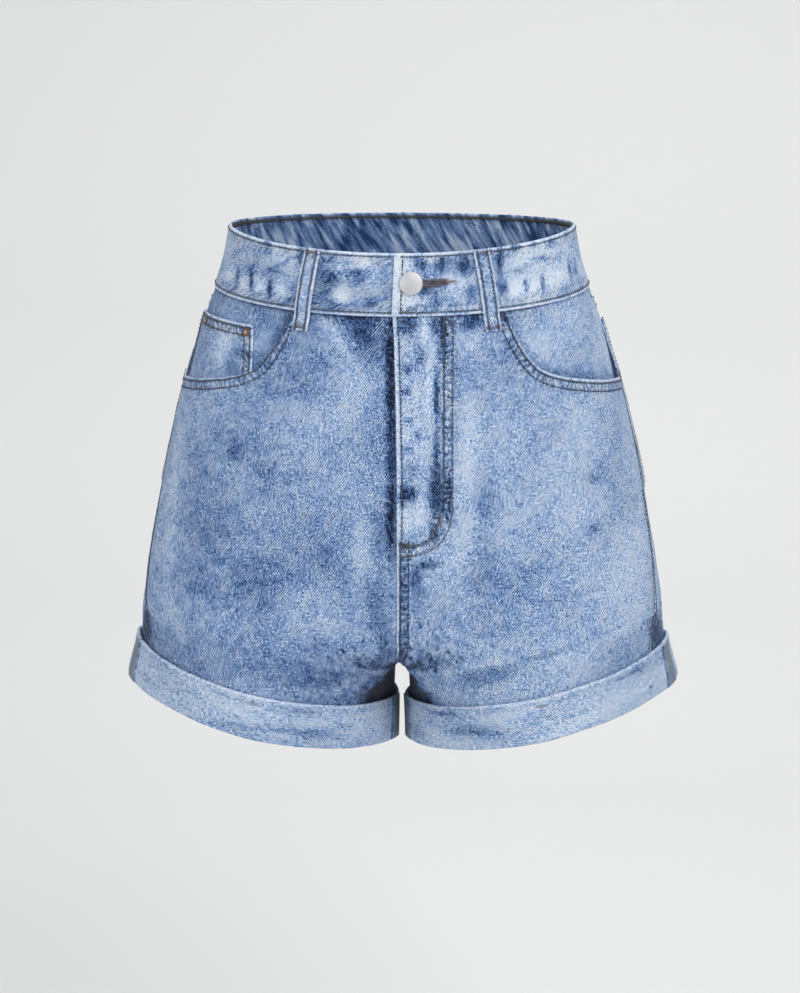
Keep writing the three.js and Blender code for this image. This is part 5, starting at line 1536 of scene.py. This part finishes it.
# %% Seam lines on the waistband
for place in (2.6, BAND_SEAM - 2.8):
    ring = down_run(4.0, 2 * float(whole_at(place)) - 5.0, 2.5)
    down = np.full(ring.shape, place)
    along, side = ring_place(down, ring)
    front_rows.append(seam_line(down, along, BAND_OUT + lap_raise(ring), side))
    inner_ring = down_run(4.0, 2 * float(whole_at(place)) - 5.0, 2.5)
    along, side = ring_place(down, inner_ring)
    inner_out = BAND_OUT - DOUBLE_CLOTH + lap_raise(inner_ring) - 2 * THREAD_OUT
    front_rows.append(seam_line(down, along, inner_out, side))
rim_rows = []
for rim_from, rim_to in ((0.9, 3.3), (2.6, 4.6)):
    ring = down_run(4.0, 2 * float(whole_at(2.0)) - 5.0, 0.9)
    down = np.where(np.arange(len(ring)) % 2 == 0, rim_from, rim_to)
    along, side = ring_place(down, ring)
    fold_in = BAND_FOLD * (1 - smooth_step(0, 1.3, down))
    rim_rows.append(seam_line(
        down, along, BAND_OUT - DOUBLE_CLOTH + fold_in + lap_raise(ring) - 2 * THREAD_OUT, side))
down = down_run(2.6, BAND_SEAM - 2.8, 2.0)
along = from_table(LAP_EDGE, down) + 6.2
front_rows.append(seam_line(down, along, BAND_OUT + lap_raise(along), 1))
print("rows with the waistband:", len(front_rows))

# %% Seam lines on the back, the loops and the small pocket
back_rows = []
for side in (1, -1):
    share = np.linspace(0.01, 0.985, 90)
    for distance in (2.4, 7.6):
        down = yoke_seam(share) - distance
        back_rows.append(seam_line(down, back_along(down, share), 0.5, side))
    for edge_out in (FIRST_ROW, SECOND_ROW):
        for across_start, across_end, depth_start, depth_end in (
                (0, 0, 0, 1), (1, 1, 0, 1), (0, 0.5, 1, 1), (0.5, 1, 1, 1)):
            inset = edge_out / POCKET_WIDTH
            lower = edge_out / (POCKET_HEIGHT + POCKET_POINT / 2)
            across = np.linspace(
                np.clip(across_start, inset, 1 - inset), np.clip(across_end, inset, 1 - inset), 60)
            depth = np.linspace(depth_start, depth_end, 60) * (1 - lower)
            down, along = pocket_place(across, depth)
            back_rows.append(seam_line(down, along, pocket_lift(across, depth) + CLOTH, side))
    for rim in (8.5, 11.5):
        across = np.linspace(0.03, 0.97, 60)
        depth = np.full(across.shape, rim / POCKET_HEIGHT)
        down, along = pocket_place(across, depth)
        back_rows.append(seam_line(down, along, pocket_lift(across, depth) + CLOTH + 0.4, side))
for distance in (2.4, 7.6):
    down = down_run(YOKE_AT_CENTRE - 0.5, 262)
    back_rows.append(seam_line(down, whole_at(down) - distance, 0.0, 1))
    down = down_run(BAND_SEAM + 1, YOKE_AT_CENTRE - 1)
    back_rows.append(seam_line(down, whole_at(down) - distance, 0.5, 1))
for name, side, line in LOOPS:
    for offset in (-3.6, 3.6):
        down = down_run(LOOP_TOP + 1, LOOP_BOTTOM - 1.5, 1.5)
        back_rows.append(seam_line(down, line(down) + offset, loop_base(down) + LOOP_CLOTH, side))
for distance in (2.6, 7.8):
    across = np.linspace(0.02, 0.98, 50)
    down = mix(COIN_TOP - 1, COIN_TOP + 2, across) + distance
    along = mix(COIN_INNER, seam_at(down) - COIN_SEAM_MARGIN, across)
    back_rows.append(seam_line(down, along, coin_out(down, along) + COIN_CLOTH + 0.25, -1))
for distance, start in ((2.6, 65), (7.6, 70)):
    down = down_run(start, 100, 2.0)
    along = np.full(down.shape, COIN_INNER + distance)
    back_rows.append(seam_line(down, along, coin_out(down, along) + COIN_CLOTH, -1))
for distance in (2.2, 7.0):
    down = down_run(66, 112, 2.0)
    along = seam_at(down) - COIN_SEAM_MARGIN - distance
    back_rows.append(seam_line(down, along, coin_out(down, along) + COIN_CLOTH, -1))
stitch_sizes = {"Pitch": 3.0 * MM, "Length": 2.8 * MM, "Thickness": 1.15 * MM}
top_stitching = sew("top_stitching_front", front_rows, stitches_tree, stitch_sizes, grey_thread)
dark_stitching = sew("top_stitching_dark", dark_rows, stitches_tree, stitch_sizes, navy_thread_painted_shade)
back_stitching = sew("top_stitching_back", back_rows, stitches_tree, stitch_sizes, grey_thread)

# %% [markdown]
# ## Tacks, buttonhole and overlocking
# Bar tacks are tight zigzags at the ends of the loops, at the pocket corners and at the fly. The
# buttonhole is bound with the same brown thread all round. The seam allowances on the cuffs are
# overlocked in pale grey.

# %% Zigzag lines


def zigzag(down_from, along_from, down_to, along_to, width, pitch, out_of, side, width_to=None):
    """A zigzag of thread about a line on the cloth. It may grow narrower on its way."""
    run = np.hypot(down_to - down_from, along_to - along_from)
    count = max(3, int(run / pitch))
    t = np.linspace(0, 1, 2 * count + 1)
    swing = np.where(np.arange(len(t)) % 2 == 0, -0.5, 0.5) * mix(width, width_to or width, t)
    down = mix(down_from, down_to, t) + swing * (along_to - along_from) / run
    along = mix(along_from, along_to, t) - swing * (down_to - down_from) / run
    return seam_line(down, along, out_of(down, along), side)


def loop_top(down, along):
    return loop_base(down) + LOOP_CLOTH


for name, side, line in LOOPS:
    for place in (LOOP_TOP + 2.0, LOOP_BOTTOM - 2.6):
        middle = float(line(np.array(place)))
        tack_rows.append(zigzag(place, middle - 4.4, place, middle + 4.4, 2.2, 0.75, loop_top, side))
TACK_COLUMNS = ("side", "down", "along", "down_to", "along_to", "width")
FRONT_TACKS = [
    (1, 205, 2.2, 205, 9.6, 2.2), (1, 109, 212.5, 118, 213.0, 1.8), (-1, 109, 212.5, 118, 213.0, 1.8),
]
CURVE_TACKS = [(1, 186, 32.2, 197, 29.2, 2.0)]
TACK_PITCH = 0.75


def front_tack(tack):
    out_of = (lambda down, along: front_out(down, along, tack["side"]) + 0.1)
    return zigzag(tack["down"], tack["along"], tack["down_to"], tack["along_to"],
                  tack["width"], TACK_PITCH, out_of, tack["side"])


tack_rows += [front_tack(tack) for tack in named(TACK_COLUMNS, FRONT_TACKS)]
for side in (1, -1):
    for across in (0.018, 0.982):
        down, along = pocket_place(np.array([across, across]), np.array([0.005, 0.075]))
        tack_rows.append(zigzag(down[0], along[0], down[1], along[1], 2.0, 0.75,
                                lambda d, a: POCKET_GAP + CLOTH + 0.5 + 0 * d, side))


def button_side(down, along):
    return BAND_OUT + lap_raise(along)


hole_rows = []
slot_from, slot_to = BUTTON_ALONG + eye_end, BUTTON_ALONG + SLOT_LENGTH
hole_rows.append(zigzag(BUTTON_DOWN - 1.5, slot_from, BUTTON_DOWN - 1.2, slot_to + 2, 3.4, 0.7,
                        button_side, 1, 2.6))
hole_rows.append(zigzag(BUTTON_DOWN + 2.6, slot_from, BUTTON_DOWN + 0.6, slot_to + 2, 5.0, 0.7,
                        button_side, 1, 2.6))
hole_rows.append(zigzag(BUTTON_DOWN - 0.2, slot_to + 1.5, BUTTON_DOWN - 0.6, slot_to + 7.5,
                        3.0, 0.7, button_side, 1, 1.2))
angles = np.linspace(0.6, 2 * math.pi - 0.6, 90)
eye_swing = EYE_RADIUS + 1.0 + np.where(np.arange(90) % 2 == 0, -0.9, 0.9)
eye_down = BUTTON_DOWN + eye_swing * np.sin(angles)
eye_along = BUTTON_ALONG + eye_swing * np.cos(angles)
hole_rows.append(seam_line(eye_down, eye_along, button_side(eye_down, eye_along), 1))
print("tacks:", len(tack_rows), "buttonhole lines:", len(hole_rows))


# %% Overlocked allowances and cuff tacks


def cuff_line(places, downs, side, wall=1.0):
    along, out, _ = cuff_place(places, downs, wall)
    return cloth(downs, along, out + THREAD_OUT, side)


OVERLOCK_TURNS = 45
cuff_rows = []
for side in (1, -1):
    for middle in (hem_seam, INNER_TWIST):
        for offset in (-5.6, -1.9, 1.9, 5.6):
            t = np.linspace(0, 1, OVERLOCK_TURNS)
            downs = mix(CUFF_TOP + 0.9, HEM - 1.2, t)
            swing = np.where(np.arange(OVERLOCK_TURNS) % 2 == 0, -1.9, 1.9)
            places = np.mod(middle + offset + swing, hem_whole)
            cuff_rows.append(cuff_line(places, downs, side))
cuff_tacks = []
for side, place in ((-1, 163.0), (1, 165.0), (-1, 470.0), (1, 476.0)):
    t = np.linspace(0, 1, 22)
    places = place / float(whole_at(314.0)) * hem_whole + mix(-4.2, 4.2, t)
    downs = 313.5 + np.where(np.arange(22) % 2 == 0, -0.7, 0.7)
    cuff_tacks.append(cuff_line(places, downs, side))
rim_binding = sew("rim_binding", rim_rows, laid_tree, {"Thickness": 0.7 * MM}, rim_thread)
tack_sizes = {"Thickness": 0.6 * MM}
bar_tacks = sew("bar_tacks", tack_rows, laid_tree, tack_sizes, brown_thread)
curve_rows = [front_tack(tack) for tack in named(TACK_COLUMNS, CURVE_TACKS)]
curve_tack = sew("curve_tack", curve_rows, laid_tree, tack_sizes, olive_thread)
buttonhole = sew("buttonhole_binding", hole_rows, laid_tree, tack_sizes, brown_thread)
overlocking = sew("overlocking_cuffs", cuff_rows + cuff_tacks, laid_tree,
                  {"Thickness": 0.85 * MM}, overlock_thread)

# %% [markdown]
# ## Zip behind the fly
# The zip is closed and hidden, so it is kept simple: two tapes and the closed chain, with the
# slider at its top. The chain's teeth are set by the same kind of tree as the stitches.

# %% Zip tape and teeth
ZIP_TOP, ZIP_BOTTOM, ZIP_TAPE_OUT, ZIP_TAPE = 49.0, 202.0, -1.6, 1.0
CHAIN_FROM, CHAIN_TO, SLIDER_LENGTH = 12.4, 17.2, 11.0
# Woven tape: a dull slate grey, ribbed, beside the bright teeth.
tape_cotton = thread_material("woven_zip_tape", "#4a525e", "#6b7380")
tape_down = np.broadcast_to(down_run(ZIP_TOP, ZIP_BOTTOM, 4.0)[:, None], (39, 24))
tape_along = np.broadcast_to(np.linspace(-9, 35, 24)[None], tape_down.shape)
zip_tape = cloth_piece("fly_zip_tape", tape_down, tape_along, ZIP_TAPE_OUT,
                       ZIP_TAPE_OUT - ZIP_TAPE, 1, tape_cotton)
zip_middle = (CHAIN_FROM + CHAIN_TO) / 2
# Satin nickel: pale and soft, so the button's dome takes the light as one wide even glow.
satin_steel, steel, steel_shader = new_material("satin_nickel_plate", {"Metallic": 0.75})
steel_place = add_node(steel, "ShaderNodeTexCoord").outputs["Object"]
steel_grain = add_node(steel, "ShaderNodeTexNoise", {
    "Vector": steel_place, "Scale": 1 / (0.5 * MM), "Detail": 2.0})
steel_cloud = add_node(steel, "ShaderNodeTexNoise", {
    "Vector": steel_place, "Scale": 1 / (6 * MM), "Detail": 1.0})
steel_tone = add_node(steel, "ShaderNodeMix", {
    "Factor": steel_cloud.outputs["Fac"], "A": linear("#c0c1c4"), "B": linear("#d6d6d9")},
    data_type="RGBA")
steel_rough = add_node(steel, "ShaderNodeMapRange", {
    "Value": steel_grain.outputs["Fac"], "To Min": 0.42, "To Max": 0.58})
steel_bump = add_node(steel, "ShaderNodeBump", {
    "Height": steel_grain.outputs["Fac"], "Strength": 0.15, "Distance": 0.05 * MM})
steel.links.new(steel_tone.outputs["Result"], steel_shader.inputs["Base Color"])
steel.links.new(steel_rough.outputs[0], steel_shader.inputs["Roughness"])
steel.links.new(steel_bump.outputs[0], steel_shader.inputs["Normal"])
teeth_lines = []
for offset in (-1.1, 1.1):
    down = down_run(ZIP_TOP + SLIDER_LENGTH + 2, ZIP_BOTTOM - 3, 3.0)
    teeth_lines.append(cloth(down, zip_middle + offset, ZIP_TAPE_OUT + 0.6, 1))
zip_teeth = sew("fly_zip_teeth", teeth_lines, stitches_tree, {
    "Pitch": 1.6 * MM, "Length": 1.2 * MM, "Thickness": 1.7 * MM}, satin_steel)

# %% [markdown]
# ## Button and rivets
# The shank button is a plain pressed cap on a stem, satin nickel with a soft rounded rim. The two
# rivets of the coin pocket are small domed caps of dull copper. Both are turned profiles.

# %% Turned parts


def turned(name, profile, segments, down, along, out, side, material):
    """A turned part standing on the cloth. The profile is radius and height in millimetres."""
    profile = np.array(profile, float)
    angle = np.linspace(0, 2 * math.pi, segments, endpoint=False)
    normal = body_normal(np.array(down), np.array(along))
    origin = cloth(np.array(down), np.array(along), out, side)
    normal = normal * np.array([side, 1, 1])
    across = np.cross(normal, [0.0, 0.0, 1.0])
    across /= np.linalg.norm(across)
    upward = np.cross(across, normal)
    points = [origin + normal * profile[0, 1]]
    for radius, height in profile[1:-1]:
        ring = (np.cos(angle)[:, None] * across + np.sin(angle)[:, None] * upward) * radius
        points.extend(origin + ring + normal * height)
    points.append(origin + normal * profile[-1, 1])
    rings = len(profile) - 2
    index = 1 + np.arange(rings * segments).reshape(rings, segments)
    following = np.roll(index, -1, 1)
    quads = np.stack([index[:-1], following[:-1], following[1:], index[1:]], -1).reshape(-1, 4)
    last = len(points) - 1
    faces = quads.tolist()
    faces += [(0, b, a) for a, b in zip(index[0], following[0])]
    faces += [(last, a, b) for a, b in zip(index[-1], following[-1])]
    mesh = bpy.data.meshes.new(name)
    mesh.from_pydata((np.array(points) * MM).tolist(), [], [[int(v) for v in f] for f in faces])
    mesh.materials.append(material)
    mesh.shade_smooth()
    piece = new_object(name, mesh)
    print(name, "faces:", len(mesh.polygons))
    return piece


def outward(piece):
    """Turns a closed mesh's faces outward."""
    body = bmesh.new()
    body.from_mesh(piece.data)
    bmesh.ops.recalc_face_normals(body, faces=body.faces)
    body.to_mesh(piece.data)
    body.free()


foot, head = BAND_OUT + 0.3, BAND_OUT + BAND_LAP + 0.3
BUTTON_PROFILE = [
    (0, foot), (2.2, foot), (2.2, head), (7.3, head), (7.9, head + 0.25), (8.3, head + 0.7),
    (8.5, head + 1.3), (8.45, head + 1.8), (8.2, head + 2.25), (7.8, head + 2.5), (7.3, head + 2.62),
    (6.4, head + 2.75), (4.6, head + 3.0), (2.4, head + 3.2), (0, head + 3.28),
]
button = turned("button_metal", BUTTON_PROFILE, 64, BUTTON_DOWN, BUTTON_ALONG, 0.0, 1, satin_steel)
outward(button)

# Antique copper: brown with duller and brighter blotches, so the rivets look old.
old_copper, copper, copper_shader = new_material("dull_antique_copper", {
    "Metallic": 0.85, "Roughness": 0.45})
copper_place = add_node(copper, "ShaderNodeTexCoord").outputs["Object"]
copper_noise = add_node(copper, "ShaderNodeTexNoise", {
    "Vector": copper_place, "Scale": 1 / (1.4 * MM), "Detail": 3.0})
copper_tone = add_node(copper, "ShaderNodeMix", {
    "Factor": copper_noise.outputs["Fac"], "A": linear("#4a3b33"), "B": linear("#a78672")},
    data_type="RGBA")
copper.links.new(copper_tone.outputs["Result"], copper_shader.inputs["Base Color"])
RIVET_PROFILE = [
    (0, 0), (2.8, 0), (3.1, 0.12), (3.2, 0.35), (3.0, 0.62), (2.5, 0.82), (1.7, 0.95), (1.3, 0.9),
    (1.1, 0.72), (0.7, 0.66), (0, 0.66),
]
RIVETS = [("rivet_inner", COIN_TOP + 5, COIN_INNER + 6), ("rivet_outer", COIN_TOP + 7, 170.0)]
PIN_PROFILE = [(0, 0), (1.0, 0), (1.05, 0.25), (0.8, 0.45), (0, 0.5)]
rivets, pins = {}, []
for name, rivet_down, rivet_along in RIVETS:
    spot = (np.array([float(rivet_down)]), np.array([float(rivet_along)]))
    seat = float(coin_out(*spot)[0]) + COIN_CLOTH + 0.3
    rivets[name] = turned(name + "_metal", RIVET_PROFILE, 32, float(rivet_down),
                          float(rivet_along), seat, -1, old_copper)
    outward(rivets[name])
    pin_seat = seat + 0.6
    pins.append(turned(name + "_pin", PIN_PROFILE, 16, float(rivet_down), float(rivet_along),
                       pin_seat, -1, satin_steel))
    outward(pins[-1])

# %% [markdown]
# ## Putting it together
# Every piece rides on the one body and stands for its solid of the frame.

# %% Ride and replace
CLOTH_PIECES = [
    (waistband, "waistband", "denim_band"), (front_left, "front_left", "denim_front_left"),
    (front_right, "front_right", "denim_front_right"), (yoke_left, "yoke_left", "denim_back"),
    (yoke_right, "yoke_right", "denim_back"), (back_left, "back_left", "denim_back"),
    (back_right, "back_right", "denim_back"), (facing_left, "pocket_facing_left", "denim_facing"),
    (facing_right, "pocket_facing_right", "denim_facing"), (bag_left, "pocket_bag_left", "pocketing"),
    (bag_right, "pocket_bag_right", "pocketing"), (coin_pocket, "coin_pocket", "denim_facing"),
    (back_pocket_left, "back_pocket_left", "denim_back"),
    (back_pocket_right, "back_pocket_right", "denim_back"), (cuff_left, "cuff_left", "denim_reverse"),
    (cuff_right, "cuff_right", "denim_reverse"), (zip_tape, "fly_zip", "zip_tape"),
    *((piece, name, "denim_band") for name, piece in loops.items()),
]
for piece, node, slot in CLOTH_PIECES:
    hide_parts(node)
    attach(piece, "root")
for piece, node, slot in (
        (button, "button", "silver_metal"), (rivets["rivet_inner"], "rivet_inner", "old_copper"),
        (rivets["rivet_outer"], "rivet_outer", "old_copper")):
    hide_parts(node)
    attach(piece, "root")
for piece, slot in (
        (top_stitching, "denim_band"), (dark_stitching, "denim_band"),
        (back_stitching, "denim_back"), (rim_binding, "denim_band"), (bar_tacks, "denim_band"),
        (curve_tack, "denim_band"),
        (buttonhole, "denim_band"), (overlocking, "denim_reverse"), (zip_teeth, "silver_metal"),
        *((pin, "silver_metal") for pin in pins)):
    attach(piece, "root")
slider = next(thing for thing in bpy.data.objects if thing.name == "zip_slider")
slider.data.materials.clear()
slider.data.materials.append(satin_steel)
print("cloth pieces:", len(CLOTH_PIECES))
